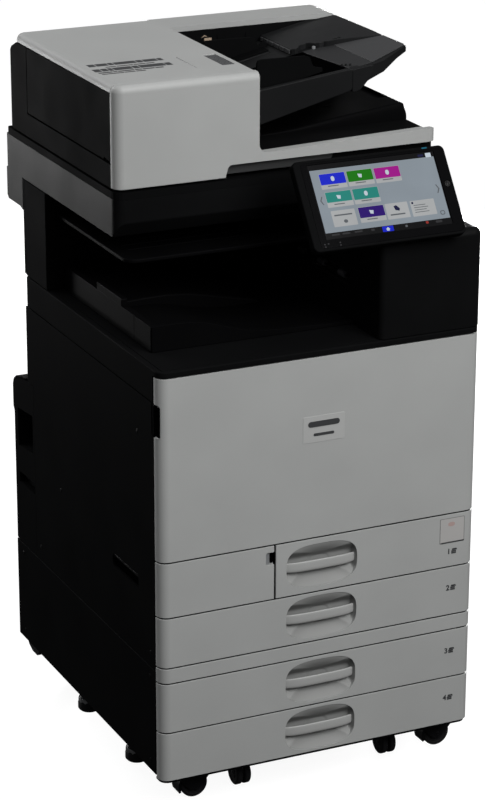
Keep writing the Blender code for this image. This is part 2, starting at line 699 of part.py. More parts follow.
# ------------------------------------------------------------------ casters
for corner, (sx, sy) in CASTERS.items():
    wx = sx + CASTER_TRAIL
    plate = turned([(17.0, 60.0), (17.0, 66.0), (7.0, 67.0), (7.0, 72.5)], "z", (sx, sy), 16)
    cheek = [
        (sx - 16.0, 60.0), (sx - 12.0, 52.0), (wx - 8.0, 20.0), (wx + 4.0, 18.0),
        (wx + 9.0, 25.0), (wx + 6.0, 46.0), (sx + 17.0, 54.0), (sx + 17.0, 62.0), (sx - 16.0, 62.0),
    ]
    fork = part(
        "caster_%s_fork" % corner, BLACK, plate, pivot=(sx, sy, 60.0),
        add=[
            prism(cheek, "y", sy - 14.0, sy - 11.0), prism(cheek, "y", sy + 11.0, sy + 14.0),
            block(sx - 15.0, sx + 15.5, sy - 13.5, sy + 13.5, 57.5, 61.5),
        ],
    )
    part(
        "caster_%s_wheel" % corner, RUBBER,
        turned(
            [(4.0, sy - 10.4), (WHEEL_R - 6, sy - 10.4), (WHEEL_R - 1.5, sy - 9.0), (WHEEL_R, sy - 6.0), (WHEEL_R, sy + 6.0), (WHEEL_R - 1.5, sy + 9.0), (WHEEL_R - 6, sy + 10.4), (4.0, sy + 10.4)],
            "y", (wx, WHEEL_Z), 24,
        ),
        pivot=(wx, sy, WHEEL_Z), parent=fork, smooth=True,
    )
for side, tx in TWIN_X.items():
    r = TWIN_R
    part(
        "twin_caster_%s_wheels" % side, RUBBER,
        turned(
            [(r - 4, tx - 19.0), (r, tx - 16.0), (r, tx - 3.4), (6.3, tx - 3.2), (6.3, tx + 3.2), (r, tx + 3.4), (r, tx + 16.0), (r - 4, tx + 19.0)],
            "x", (TWIN_Y, TWIN_Z), 24,
        ),
        pivot=(tx, TWIN_Y, TWIN_Z), smooth=True,
    )
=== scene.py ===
import math

import bmesh
import bpy
from mathutils import Matrix, Vector


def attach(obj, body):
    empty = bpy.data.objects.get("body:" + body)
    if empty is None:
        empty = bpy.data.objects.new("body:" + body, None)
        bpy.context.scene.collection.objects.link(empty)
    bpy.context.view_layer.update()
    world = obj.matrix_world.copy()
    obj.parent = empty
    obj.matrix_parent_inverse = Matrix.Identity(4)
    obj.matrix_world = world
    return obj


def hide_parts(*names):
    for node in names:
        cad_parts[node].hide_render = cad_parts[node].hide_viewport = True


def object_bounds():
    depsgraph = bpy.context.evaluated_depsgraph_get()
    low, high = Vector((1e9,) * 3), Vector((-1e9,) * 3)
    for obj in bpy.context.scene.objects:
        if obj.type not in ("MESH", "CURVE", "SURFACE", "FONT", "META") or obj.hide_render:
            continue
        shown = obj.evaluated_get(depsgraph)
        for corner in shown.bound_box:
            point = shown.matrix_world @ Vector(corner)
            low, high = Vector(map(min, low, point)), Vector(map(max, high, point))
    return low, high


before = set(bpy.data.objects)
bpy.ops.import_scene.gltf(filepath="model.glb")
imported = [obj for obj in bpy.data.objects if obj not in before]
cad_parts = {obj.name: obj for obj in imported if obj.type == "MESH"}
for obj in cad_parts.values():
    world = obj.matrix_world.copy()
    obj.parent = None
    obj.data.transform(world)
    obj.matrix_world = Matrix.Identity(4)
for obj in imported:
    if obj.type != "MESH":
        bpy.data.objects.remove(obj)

CAD_BOX = [list(map(float, corner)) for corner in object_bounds()]

# ------------------------------------------------------------------ units
# Shapes are written in machine millimetres (x from the left side, y from the
# front panels, z from the floor) and placed by the CAD model's own box.
W = 587.0
OX = W / 2.0
OY = 315.35
Z_LIFT = 0.0
TO_WORLD = Matrix.Scale(0.001, 4) @ Matrix.Translation((-OX, -OY, Z_LIFT))


# -------------------------------------------------------------- materials
def grain_material(
    name, colour, rough=(0.4, 0.5), grain=1500.0, bump=0.15, depth=0.00004, tone=0.05,
    metallic=0.0, specular=0.35, wear=0.0, wear_colour=None, blotch=9.0, coat=0.0, streak=None,
):
    """Moulded or rolled surface: fine grain, slow tone drift, uneven gloss and
    lighter edges where hands and feet rub it."""
    mat = bpy.data.materials.new(name)
    mat.use_nodes = True
    nt = mat.node_tree
    nodes, links = nt.nodes, nt.links
    shader = nodes["Principled BSDF"]
    shader.inputs["Metallic"].default_value = metallic
    shader.inputs["Specular IOR Level"].default_value = specular
    shader.inputs["Coat Weight"].default_value = coat
    mat.diffuse_color = (*colour, 1.0)

    where = nodes.new("ShaderNodeTexCoord")
    source = where.outputs["Object"]
    if streak is not None:
        mapping = nodes.new("ShaderNodeMapping")
        mapping.inputs["Scale"].default_value = streak
        links.new(source, mapping.inputs["Vector"])
        fine_source = mapping.outputs["Vector"]
    else:
        fine_source = source

    fine = nodes.new("ShaderNodeTexNoise")
    fine.inputs["Scale"].default_value = grain
    fine.inputs["Detail"].default_value = 3.0
    fine.inputs["Roughness"].default_value = 0.6
    links.new(fine_source, fine.inputs["Vector"])
    coarse = nodes.new("ShaderNodeTexVoronoi")
    coarse.inputs["Scale"].default_value = grain * 0.45
    links.new(fine_source, coarse.inputs["Vector"])
    both = nodes.new("ShaderNodeMath")
    both.operation = "ADD"
    links.new(fine.outputs["Fac"], both.inputs[0])
    links.new(coarse.outputs["Distance"], both.inputs[1])
    relief = nodes.new("ShaderNodeBump")
    relief.inputs["Strength"].default_value = bump
    relief.inputs["Distance"].default_value = depth
    links.new(both.outputs["Value"], relief.inputs["Height"])
    links.new(relief.outputs["Normal"], shader.inputs["Normal"])

    slow = nodes.new("ShaderNodeTexNoise")
    slow.inputs["Scale"].default_value = blotch
    slow.inputs["Detail"].default_value = 5.0
    links.new(source, slow.inputs["Vector"])
    gloss = nodes.new("ShaderNodeMapRange")
    gloss.inputs["From Min"].default_value = 0.3
    gloss.inputs["From Max"].default_value = 0.7
    gloss.inputs["To Min"].default_value = rough[0]
    gloss.inputs["To Max"].default_value = rough[1]
    links.new(slow.outputs["Fac"], gloss.inputs["Value"])
    links.new(gloss.outputs["Result"], shader.inputs["Roughness"])

    def shade(k):
        return (*(min(1.0, c * k) for c in colour), 1.0)

    ramp = nodes.new("ShaderNodeValToRGB")
    ramp.color_ramp.elements[0].position = 0.3
    ramp.color_ramp.elements[0].color = shade(1.0 - tone)
    ramp.color_ramp.elements[1].position = 0.7
    ramp.color_ramp.elements[1].color = shade(1.0 + tone)
    links.new(slow.outputs["Fac"], ramp.inputs["Fac"])
    speckle = nodes.new("ShaderNodeMix")
    speckle.data_type = "RGBA"
    speckle.blend_type = "MULTIPLY"
    speckle.inputs["Factor"].default_value = min(1.0, tone * 3.0)
    links.new(ramp.outputs["Color"], speckle.inputs["A"])
    tint = nodes.new("ShaderNodeValToRGB")
    tint.color_ramp.elements[0].color = (0.72, 0.72, 0.72, 1.0)
    tint.color_ramp.elements[1].color = (1.0, 1.0, 1.0, 1.0)
    links.new(fine.outputs["Fac"], tint.inputs["Fac"])
    links.new(tint.outputs["Color"], speckle.inputs["B"])
    out = speckle.outputs["Result"]

    if wear > 0.0:
        geo = nodes.new("ShaderNodeNewGeometry")
        edge = nodes.new("ShaderNodeMapRange")
        edge.inputs["From Min"].default_value = 0.53
        edge.inputs["From Max"].default_value = 0.62
        edge.inputs["To Max"].default_value = wear
        links.new(geo.outputs["Pointiness"], edge.inputs["Value"])
        patchy = nodes.new("ShaderNodeTexNoise")
        patchy.inputs["Scale"].default_value = 60.0
        patchy.inputs["Detail"].default_value = 4.0
        links.new(source, patchy.inputs["Vector"])
        amount = nodes.new("ShaderNodeMath")
        amount.operation = "MULTIPLY"
        links.new(edge.outputs["Result"], amount.inputs[0])
        links.new(patchy.outputs["Fac"], amount.inputs[1])
        worn = nodes.new("ShaderNodeMix")
        worn.data_type = "RGBA"
        links.new(amount.outputs["Value"], worn.inputs["Factor"])
        links.new(out, worn.inputs["A"])
        worn.inputs["B"].default_value = (*(wear_colour or [min(1.0, c * 2.2 + 0.02) for c in colour]), 1.0)
        out = worn.outputs["Result"]
    links.new(out, shader.inputs["Base Color"])
    return mat


def glow_material(name, colour, strength=1.0, rough=0.12):
    """A lit patch of a display under glass."""
    mat = bpy.data.materials.new(name)
    mat.use_nodes = True
    nt = mat.node_tree
    nodes, links = nt.nodes, nt.links
    shader = nodes["Principled BSDF"]
    shader.inputs["Base Color"].default_value = (*(c * 0.02 for c in colour), 1.0)
    shader.inputs["Roughness"].default_value = rough
    shader.inputs["Specular IOR Level"].default_value = 0.06
    shader.inputs["Emission Strength"].default_value = strength
    mat.diffuse_color = (*colour, 1.0)
    where = nodes.new("ShaderNodeTexCoord")
    drift = nodes.new("ShaderNodeTexNoise")
    drift.inputs["Scale"].default_value = 14.0
    links.new(where.outputs["Object"], drift.inputs["Vector"])
    ramp = nodes.new("ShaderNodeValToRGB")
    ramp.color_ramp.elements[0].position = 0.25
    ramp.color_ramp.elements[0].color = (*(c * 0.93 for c in colour), 1.0)
    ramp.color_ramp.elements[1].position = 0.75
    ramp.color_ramp.elements[1].color = (*(min(1.0, c * 1.05) for c in colour), 1.0)
    links.new(drift.outputs["Fac"], ramp.inputs["Fac"])
    links.new(ramp.outputs["Color"], shader.inputs["Emission Color"])
    return mat


def srgb(*rgb):
    return tuple((c / 255.0 / 12.92) if c <= 10 else ((c / 255.0 + 0.055) / 1.055) ** 2.4 for c in rgb)


LIGHT = grain_material("light_panel", (0.315, 0.320, 0.315), (0.42, 0.52), 1700.0, 0.10, 0.00003, 0.025, specular=0.3)
# darker copy of the light panel plastic: painted shade for inner faces (not used below)
LIGHT_SHADED = grain_material("light_panel_painted_shade", (0.24, 0.245, 0.24), (0.5, 0.6), 900.0, 0.2, 0.00005, 0.04, specular=0.3)
PULL = grain_material("pull_plastic", (0.325, 0.328, 0.322), (0.36, 0.48), 1700.0, 0.08, 0.00003, 0.03, specular=0.35)
# darker copy of the panel plastic for the pull recesses: painted shade in the hollow
SCOOP_SHADED = grain_material("scoop_plastic_painted_shade", (0.205, 0.208, 0.203), (0.45, 0.55), 1700.0, 0.10, 0.00003, 0.03, specular=0.2)
BLACK = grain_material("black_panel", (0.0040, 0.0041, 0.0043), (0.48, 0.60), 1100.0, 0.30, 0.00006, 0.10, specular=0.004)
BLACK_SMOOTH = grain_material("black_smooth", (0.0040, 0.0041, 0.0043), (0.36, 0.46), 1500.0, 0.10, 0.00003, 0.08, specular=0.03)
BLACK_GLOSS = grain_material("black_gloss", (0.0052, 0.0053, 0.0056), (0.26, 0.36), 1500.0, 0.08, 0.00003, 0.08, specular=0.10)
# darker, matte copy of the black panel: painted shade for the delivery space, also used on the feeder ramp
SHADED_BLACK = grain_material("black_soft_painted_shade", (0.0022, 0.0022, 0.0024), (0.42, 0.54), 1300.0, 0.20, 0.00005, 0.08, specular=0.012)
# near-black fill: painted shade for notches, gaps, recesses and insides
SHADOW_BLACK = grain_material("black_painted_shadow_fill", (0.0006, 0.0006, 0.0007), (0.6, 0.7), 900.0, 0.3, 0.00006, 0.10, specular=0.0)
LIP = grain_material("lip_grey", (0.030, 0.0305, 0.031), (0.45, 0.55), 1200.0, 0.15, 0.00004, 0.06, specular=0.15)
TRAYGREY = grain_material("tray_grey", (0.0095, 0.0098, 0.0103), (0.40, 0.52), 1200.0, 0.25, 0.00005, 0.08, specular=0.10)
TRAYLIGHT = grain_material("tray_extension_grey", (0.038, 0.0385, 0.040), (0.38, 0.5), 1200.0, 0.2, 0.00005, 0.06, specular=0.18)
FENCE = grain_material("fence_grey", (0.0078, 0.0080, 0.0084), (0.42, 0.54), 1200.0, 0.25, 0.00005, 0.08, specular=0.06)
TRAYMID = grain_material("tray_mid_grey", (0.0180, 0.0184, 0.0192), (0.40, 0.52), 1200.0, 0.25, 0.00005, 0.08, specular=0.14)
BOXGREY = grain_material("drawer_grey", (0.05, 0.052, 0.055), (0.5, 0.6), 1000.0, 0.25, 0.00006, 0.07, specular=0.25, wear=0.3, wear_colour=(0.12, 0.12, 0.12))
MIDGREY = grain_material("mid_grey", (0.16, 0.165, 0.17), (0.45, 0.55), 1100.0, 0.2, 0.00005, 0.05, specular=0.3, wear=0.25, wear_colour=(0.26, 0.26, 0.26))
GUIDEBLUE = grain_material("operator_blue", (0.02, 0.09, 0.24), (0.35, 0.45), 1200.0, 0.15, 0.00004, 0.05, specular=0.35)
STEEL = grain_material("zinc_steel", (0.46, 0.47, 0.48), (0.28, 0.42), 500.0, 0.12, 0.00004, 0.10, metallic=1.0, specular=0.5, blotch=22.0, streak=(1.0, 1.0, 0.08))
CHROME = grain_material("bright_steel", (0.6, 0.6, 0.62), (0.14, 0.22), 900.0, 0.05, 0.00002, 0.05, metallic=1.0, specular=0.5)
RUBBER = grain_material("rubber", (0.010, 0.010, 0.011), (0.7, 0.85), 1300.0, 0.5, 0.0001, 0.12, specular=0.15)
ROLLER = grain_material("roller_rubber", (0.035, 0.035, 0.037), (0.7, 0.85), 1300.0, 0.5, 0.0001, 0.1, specular=0.15)
CASTER = grain_material("caster_plastic", (0.005, 0.005, 0.006), (0.35, 0.48), 1100.0, 0.2, 0.00005, 0.1, specular=0.2)
GLASS = grain_material("platen_glass", (0.012, 0.016, 0.018), (0.03, 0.06), 300.0, 0.01, 0.00001, 0.05, specular=0.6, coat=0.5)
BEZEL = grain_material("panel_glass", (0.0022, 0.0022, 0.0025), (0.10, 0.17), 400.0, 0.01, 0.00001, 0.05, specular=0.012)
PAD = grain_material("white_pad", (0.62, 0.62, 0.61), (0.55, 0.65), 1500.0, 0.15, 0.00005, 0.03, specular=0.25)
# dark print colour; also used for the painted shadow line under the drawer 1 label
INK_AND_SHADOW = grain_material("printed_mark_and_painted_shadow", (0.035, 0.036, 0.038), (0.5, 0.6), 1500.0, 0.1, 0.00002, 0.06, specular=0.25)
BADGE = grain_material("blank_badge", (0.345, 0.348, 0.343), (0.3, 0.4), 1500.0, 0.05, 0.00002, 0.02, specular=0.4)
STICKER = grain_material("blank_sticker", (0.345, 0.338, 0.330), (0.4, 0.5), 1500.0, 0.05, 0.00002, 0.03, specular=0.3)
STICKER_LINE = grain_material("sticker_line", (0.16, 0.16, 0.158), (0.4, 0.5), 1500.0, 0.05, 0.00002, 0.03, specular=0.3)
STICKER_RED = grain_material("sticker_tint", (0.34, 0.25, 0.235), (0.4, 0.5), 1500.0, 0.05, 0.00002, 0.03, specular=0.3)
STICKER_CREAM = grain_material("sticker_cream", (0.34, 0.26, 0.19), (0.4, 0.5), 1500.0, 0.05, 0.00002, 0.04, specular=0.3)
TONERS = [
    grain_material("toner_cap_" + n, c, (0.35, 0.45), 1200.0, 0.15, 0.00004, 0.05, specular=0.3)
    for n, c in (("yellow", (0.5, 0.36, 0.03)), ("magenta", (0.35, 0.03, 0.12)), ("cyan", (0.02, 0.2, 0.35)), ("black", (0.012, 0.012, 0.013)))
]
TONER_BODY = grain_material("toner_body", (0.10, 0.102, 0.105), (0.4, 0.5), 1200.0, 0.2, 0.00005, 0.06, specular=0.3)


# ------------------------------------------------------------ shape tools
def rr(x0, x1, y0, y1, radii, steps=8):
    """Rounded rectangle; corner order (x0,y0), (x1,y0), (x1,y1), (x0,y1)."""
    if not isinstance(radii, (tuple, list)):
        radii = (radii,) * 4
    pts = []
    corners = [(x0, y0, 180), (x1, y0, 270), (x1, y1, 0), (x0, y1, 90)]
    for (x, y, start), r in zip(corners, radii):
        if r <= 0.0:
            pts.append((x, y))
            continue
        cx = x + r if x == x0 else x - r
        cy = y + r if y == y0 else y - r
        for k in range(steps + 1):
            t = math.radians(start + 90.0 * k / steps)
            pts.append((cx + r * math.cos(t), cy + r * math.sin(t)))
    return pts


def oval(cx, cy, a, b, n=2.0, count=48):
    pts = []
    for k in range(count):
        t = 2 * math.pi * k / count
        c, s = math.cos(t), math.sin(t)
        pts.append((cx + a * math.copysign(abs(c) ** (2.0 / n), c), cy + b * math.copysign(abs(s) ** (2.0 / n), s)))
    return pts


LIFT = {
    "z": lambda p, h: (p[0], p[1], h),
    "y": lambda p, h: (p[0], h, p[1]),
    "x": lambda p, h: (h, p[0], p[1]),
}


def stack(rings, closed=True):
    """Closed skin through rings of equal count, capped at both ends."""
    bm = bmesh.new()
    made = [[bm.verts.new(p) for p in ring] for ring in rings]
    for a, b in zip(made, made[1:]):
        n = len(a)
        for i in range(n):
            j = (i + 1) % n
            bm.faces.new((a[i], a[j], b[j], b[i]))
    if closed:
        bm.faces.new(list(reversed(made[0])))
        bm.faces.new(made[-1])
    bmesh.ops.recalc_face_normals(bm, faces=bm.faces)
    return bm


def prism(points, axis, low, high):
    lift = LIFT[axis]
    return stack([[lift(p, low) for p in points], [lift(p, high) for p in points]])


def box(x0, x1, y0, y1, z0, z1):
    return prism([(x0, y0), (x1, y0), (x1, y1), (x0, y1)], "z", z0, z1)


def levels(outline, axis, steps):
    """outline(inset) gives the ring; steps is a list of (height, inset)."""
    lift = LIFT[axis]
    return stack([[lift(p, h) for p in outline(i)] for h, i in steps])


def soft_ends(low, high, r, n=3):
    """Heights and insets of a rounded rim at both ends."""
    out = []
    for k in range(n + 1):
        t = math.pi / 2 * k / n
        out.append((low + r * (1 - math.sin(t)), r * (1 - math.cos(t))))
    out = [(low + r * (1 - math.cos(math.pi / 2 * k / n)), r * (1 - math.sin(math.pi / 2 * k / n))) for k in range(n + 1)]
    top = [(high - (h - low), i) for h, i in reversed(out)]
    return out + top


def lathe(profile, axis, centre, sides=48):
    """profile: (radius, height along axis) from one end to the other."""
    rings = []
    for r, h in profile:
        ring = []
        for k in range(sides):
            t = 2 * math.pi * (k + 0.5) / sides
            p = (centre[0] + r * math.cos(t), centre[1] + r * math.sin(t))
            ring.append(LIFT[axis](p, h))
        rings.append(ring)
    return stack(rings)


def disc(axis, centre, r, low, high, sides=40, rim=0.0):
    if rim > 0.0:
        return lathe([(r - rim, low), (r, low + rim), (r, high - rim), (r - rim, high)], axis, centre, sides)
    return lathe([(r, low), (r, high)], axis, centre, sides)


def tube(path, radius, sides=12):
    """A round bar along a path of points."""
    pts = [Vector(p) for p in path]
    rings = []
    side = None
    for i, p in enumerate(pts):
        a = pts[max(i - 1, 0)]
        b = pts[min(i + 1, len(pts) - 1)]
        d = (b - a).normalized()
        if side is None:
            side = d.orthogonal().normalized()
        side = (side - d * side.dot(d)).normalized()
        up = d.cross(side)
        rings.append([
            tuple(p + side * radius * math.cos(2 * math.pi * k / sides) + up * radius * math.sin(2 * math.pi * k / sides))
            for k in range(sides)
        ])
    return stack(rings)


def joined(*parts):
    """Several separate solids in one mesh."""
    out = bmesh.new()
    for bm in parts:
        mesh = bpy.data.meshes.new("tmp")
        bm.to_mesh(mesh)
        out.from_mesh(mesh)
        bpy.data.meshes.remove(mesh)
        bm.free()
    return out


def mesh_of(bm, name):
    bmesh.ops.transform(bm, matrix=TO_WORLD, verts=bm.verts)
    mesh = bpy.data.meshes.new(name)
    bm.to_mesh(mesh)
    bm.free()
    return mesh


def carve(obj, shapes, kind):
    """Cuts or adds shapes for good, so that no helper object is left."""
    helpers = []
    for k, bm in enumerate(shapes):
        h = bpy.data.objects.new("helper_%d" % k, mesh_of(bm, "helper"))
        bpy.context.scene.collection.objects.link(h)
        m = obj.modifiers.new("carve", "BOOLEAN")
        m.operation = kind
        m.solver = "EXACT"
        m.object = h
        helpers.append(h)
    bpy.context.view_layer.update()
    result = bpy.data.meshes.new_from_object(obj.evaluated_get(bpy.context.evaluated_depsgraph_get()))
    obj.modifiers.clear()
    old = obj.data
    obj.data = result
    bpy.data.meshes.remove(old)
    for h in helpers:
        mesh = h.data
        bpy.data.objects.remove(h, do_unlink=True)
        bpy.data.meshes.remove(mesh)


def finish_edges(obj, bevel, seg, angle):
    if bevel > 0.0:
        m = obj.modifiers.new("Bevel", "BEVEL")
        m.width = bevel * 0.001
        m.segments = seg
        m.limit_method = "ANGLE"
        m.angle_limit = math.radians(angle)
        m.harden_normals = True
        m.use_clamp_overlap = True
    m = obj.modifiers.new("Normals", "WEIGHTED_NORMAL")
    m.keep_sharp = True
    m.weight = 60


def piece(name, bm, mat, body, bevel=0.0, seg=2, angle=32.0, cut=(), add=(), stands_for=(), sharp=40.0):
    obj = bpy.data.objects.new(name, mesh_of(bm, name))
    bpy.context.scene.collection.objects.link(obj)
    if add:
        carve(obj, add, "UNION")
    if cut:
        carve(obj, cut, "DIFFERENCE")
    obj.data.materials.clear()
    obj.data.materials.append(mat)
    obj.data.shade_smooth()
    if bevel <= 0.0:
        obj.data.set_sharp_from_angle(angle=math.radians(sharp))
    finish_edges(obj, bevel, seg, angle)
    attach(obj, body)
    if stands_for:
        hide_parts(*([stands_for] if isinstance(stands_for, str) else stands_for))
    return obj


def keep(node, mat, bevel=0.6, seg=2):
    """A CAD node that goes on showing, with rounded edges and a real finish."""
    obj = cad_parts[node]
    for s in obj.material_slots:
        s.material = mat
    if not obj.material_slots:
        obj.data.materials.append(mat)
    m = obj.modifiers.new("Bevel", "BEVEL")
    m.width = bevel * 0.001
    m.segments = seg
    m.limit_method = "ANGLE"
    m.angle_limit = math.radians(38.0)
    m.harden_normals = True
    m = obj.modifiers.new("Normals", "WEIGHTED_NORMAL")
    m.keep_sharp = True
    return obj


# ----------------------------------------------------------- front panels
def front_plate(x0, x1, z0, z1, depth=20.0, rim=0.5):
    left = 18.0 if x0 <= 0.0 else 1.4
    right = 18.0 if x1 >= W else 1.4

    def outline(i):
        return rr(x0 + i, x1 - i, i, depth, (max(left - i, 0.3), max(right - i, 0.3), 0.0, 0.0), 10)

    return levels(outline, "z", soft_ends(z0, z1, rim, 3))


def screw(axis, at, height, facing, r=4.0):
    """A pan-head screw dome; the cross recess is cut where each screw is placed. facing is +1 or -1."""
    prof = [(r, height), (r, height + facing * 0.5), (r * 0.9, height + facing * 1.1), (r * 0.6, height + facing * 1.5), (r * 0.2, height + facing * 1.65)]
    head = lathe(prof, axis, at, 24)
    return head


def text_mesh(chars, size, x, z, y, depth):
    """A numeral standing on a front panel, facing the user."""
    curve = bpy.data.curves.new("numeral", "FONT")
    curve.body = chars
    curve.size = size * 0.001
    curve.extrude = depth * 0.001
    curve.offset = size * 0.00003
    curve.align_x = "CENTER"
    curve.align_y = "CENTER"
    tmp = bpy.data.objects.new("numeral", curve)
    bpy.context.scene.collection.objects.link(tmp)
    bpy.context.view_layer.update()
    mesh = bpy.data.meshes.new_from_object(tmp.evaluated_get(bpy.context.evaluated_depsgraph_get()))
    bpy.data.objects.remove(tmp, do_unlink=True)
    turn = Matrix.Rotation(math.radians(90.0), 4, "X")
    mesh.transform(Matrix.Translation(((x - OX) / 1000.0, (y - OY) / 1000.0, z / 1000.0)) @ turn)
    return mesh


def mesh_piece(name, mesh, mat, body):
    obj = bpy.data.objects.new(name, mesh)
    bpy.context.scene.collection.objects.link(obj)
    obj.data.materials.clear()
    obj.data.materials.append(mat)
    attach(obj, body)
    return obj


# the large door: a shell with a ribbed inside and a finger notch
door_pockets = []
for ix in range(6):
    for iz in range(4):
        px0 = 20.0 + ix * 91.6
        pz0 = 480.0 + iz * 76.6
        door_pockets.append(prism(rr(px0, px0 + 87.0, pz0, pz0 + 72.0, 4.0, 3), "y", 7.0, 26.0))
piece(
    "front_door_panel", front_plate(0.0, W, 472.5, 788.0), LIGHT, "front_door",
    cut=door_pockets + [
        prism(rr(4.0, W - 4.0, 476.5, 784.0, 8.0, 4), "y", 15.0, 26.0),
        prism(rr(-6.0, 5.0, 686.0, 743.0, (0.0, 4.0, 4.0, 0.0), 4), "y", 3.0, 26.0),
    ],
    bevel=0.5, stands_for="front_door",
)
# near-black sheet inside the finger notch: painted shade
piece("front_door_notch_painted_shade", prism(rr(1.2, 4.6, 689.0, 740.0, 1.2, 3), "y", 5.0, 14.0), SHADOW_BLACK, "front_door", bevel=0.4)
piece("door_badge", levels(lambda i: rr(257.0 + i, 333.0 - i, 641.0 + i, 687.0 - i, 2.0, 4), "y", [(0.15, 0.0), (-0.35, 0.0), (-0.6, 0.4)]), BADGE, "front_door")
piece("door_badge_bar", prism(rr(266.0, 324.0, 668.0, 678.0, 4.9, 5), "y", -1.05, -0.55), INK_AND_SHADOW, "front_door", bevel=0.15)
piece("door_badge_line", prism(rr(276.0, 314.0, 652.0, 657.0, 2.4, 5), "y", -1.0, -0.55), INK_AND_SHADOW, "front_door", bevel=0.15)
for zz in (500.0, 765.0):
    piece("door_hinge_knuckle_%d" % int(zz), disc("z", (580.0, 11.0), 4.0, zz - 12.0, zz + 12.0, 24, 0.6), STEEL, "front_door")

# the small cover left of the upper drawer
piece(
    "waste_cover_panel", front_plate(0.0, 206.5, 374.5, 469.5), LIGHT, "waste_toner_cover",
    cut=[
        prism(rr(10.0, 200.0, 380.0, 464.0, 6.0, 4), "y", 8.0, 26.0),
        prism(rr(191.0, 215.0, 436.0, 459.0, (4.0, 0.0, 0.0, 4.0), 4), "y", -5.0, 5.0),
    ],
    bevel=0.4, stands_for="waste_toner_cover",
)
piece("waste_cover_latch_recess", prism(rr(191.4, 199.0, 436.4, 458.6, (3.6, 0.0, 0.0, 3.6), 4), "y", 4.2, 5.2), MIDGREY, "waste_toner_cover", bevel=0.2)
# the latch takes the near-black fill: painted shade in the notch
piece("waste_cover_latch", prism(rr(199.8, 206.3, 440.0, 456.0, (1.2, 0.6, 0.6, 1.2), 3), "y", 1.6, 5.2), SHADOW_BLACK, "waste_toner_cover", bevel=0.5, cut=[prism(rr(201.0, 208.0, 444.0, 451.0, 1.0, 3), "y", -1.0, 3.6)])

piece("bank_strip_panel", front_plate(0.0, W, 256.5, 281.5), LIGHT, "machine", bevel=0.0, stands_for="bank_front_strip")


def smooth01(t):
    t = max(0.0, min(1.0, t))
    return t * t * (3.0 - 2.0 * t)


HX, HA, HB, HN = 295.0, 66.0, 38.2, 3.0


def bowl(mid):
    """The moulded recess round the pull bar: a soft slope under the top edge,
    a deep slot for the fingers, and a long scoop below."""
    count, rings = 112, []
    n_ring = 34
    for i in range(n_ring):
        rho = 1.0 - i / (n_ring - 1) * 0.97
        ring = []
        for (x, z) in oval(HX, mid, (HA - 0.25) * rho, (HB - 0.25) * rho, HN, count):
            side = HA - abs(x - HX)
            t = min((1.0 - rho) * HB, 60.0)
            h = (z - mid) / HB
            up = smooth01((h / max(rho, 0.05) + 0.35) / 0.7)
            wall = smooth01(side / 5.0)
            ceil = 1.0 + 15.0 * min(t / 27.0, 1.0) ** 1.7
            scoop = 1.0 + 15.0 * (1.0 - (1.0 - min(t / 26.0, 1.0)) ** 1.7)
            y = ceil * up + scoop * (1.0 - up)
            if abs(h) < 0.8:
                near = smooth01((0.8 - abs(h)) / 0.55)
                y = max(y, 1.0 + 14.0 * wall * near)
            ring.append((x, y, z))
        rings.append(ring)
    back = [(x, 18.2, z) for (x, z) in oval(HX, mid, HA - 0.25, HB - 0.25, HN, count)]
    return stack([back] + rings)


def pull_bar(mid):
    """The bowed lip that the fingers go behind; its ends run into the sides
    of the recess."""
    rings = []
    n = 57
    for i in range(n):
        u = -1.0 + 2.0 * i / (n - 1)
        x = HX + 65.0 * u
        y = 0.9 + 6.4 * abs(u) ** 4.0
        pinch = 1.0 - 0.10 * abs(u) ** 8
        sec = [
            (1.3, 8.4), (0.5, 8.1), (0.0, 7.0), (0.0, 3.0), (0.15, -3.0), (0.5, -6.6), (1.3, -8.8),
            (2.8, -9.9), (4.6, -10.2), (5.6, -9.2), (5.0, -4.0), (4.4, 3.0), (3.8, 7.4), (2.6, 8.4),
        ]
        rings.append([(x, min(y + a, 17.2), mid + b * pinch) for a, b in sec])
    return stack(rings)


NUMERAL_Z = {1: 401.6, 2: 334.0, 3: 215.6, 4: 126.2}


def drawer_front(k, x0, z0, z1):
    body = "tray_%d" % k
    mid = (z0 + z1) / 2.0
    piece(
        "drawer_%d_panel" % k, front_plate(x0, W, z0 + 1.5, z1 - 1.5), LIGHT, body,
        cut=[prism(oval(HX, mid, HA, HB, HN, 96), "y", -5.0, 17.0)],
        bevel=0.4, seg=2, stands_for="tray_%d_front" % k,
    )
    # the recess bowl takes the darker plastic: painted shade in the hollow round the pull
    piece("drawer_%d_recess" % k, bowl(mid), SCOOP_SHADED, body, sharp=60.0)
    piece("drawer_%d_pull" % k, pull_bar(mid), PULL, body, sharp=60.0)
    zz = NUMERAL_Z[k]
    mesh_piece("drawer_%d_numeral" % k, text_mesh(str(k), 13.4, 537.0, zz, -0.1, 0.18), INK_AND_SHADOW, body)
    icon = joined(
        prism([(542.0, zz - 4.6), (551.0, zz - 4.6), (551.0, zz - 1.9), (542.0, zz - 1.9)], "y", -0.28, 0.1),
        prism([(542.0, zz - 1.4), (551.0, zz - 1.4), (551.0, zz + 1.4), (542.0, zz + 1.4)], "y", -0.28, 0.1),
        prism([(542.6, zz + 1.9), (553.4, zz + 1.9), (551.8, zz + 5.0), (543.8, zz + 5.0)], "y", -0.28, 0.1),
    )
    piece("drawer_%d_icon" % k, icon, INK_AND_SHADOW, body)


drawer_front(1, 209.5, 373.0, 471.0)
drawer_front(2, 0.0, 283.0, 373.0)
drawer_front(3, 0.0, 165.0, 255.0)
drawer_front(4, 0.0, 76.0, 165.0)
piece("drawer_1_label", prism(rr(519.8, 565.2, 420.0, 462.4, 1.5, 3), "y", -0.3, 0.1), STICKER, "tray_1", bevel=0.1)
piece("drawer_1_label_line", prism(rr(518.6, 566.4, 417.4, 463.6, 1.8, 3), "y", -0.22, 0.1), STICKER_LINE, "tray_1", bevel=0.05)
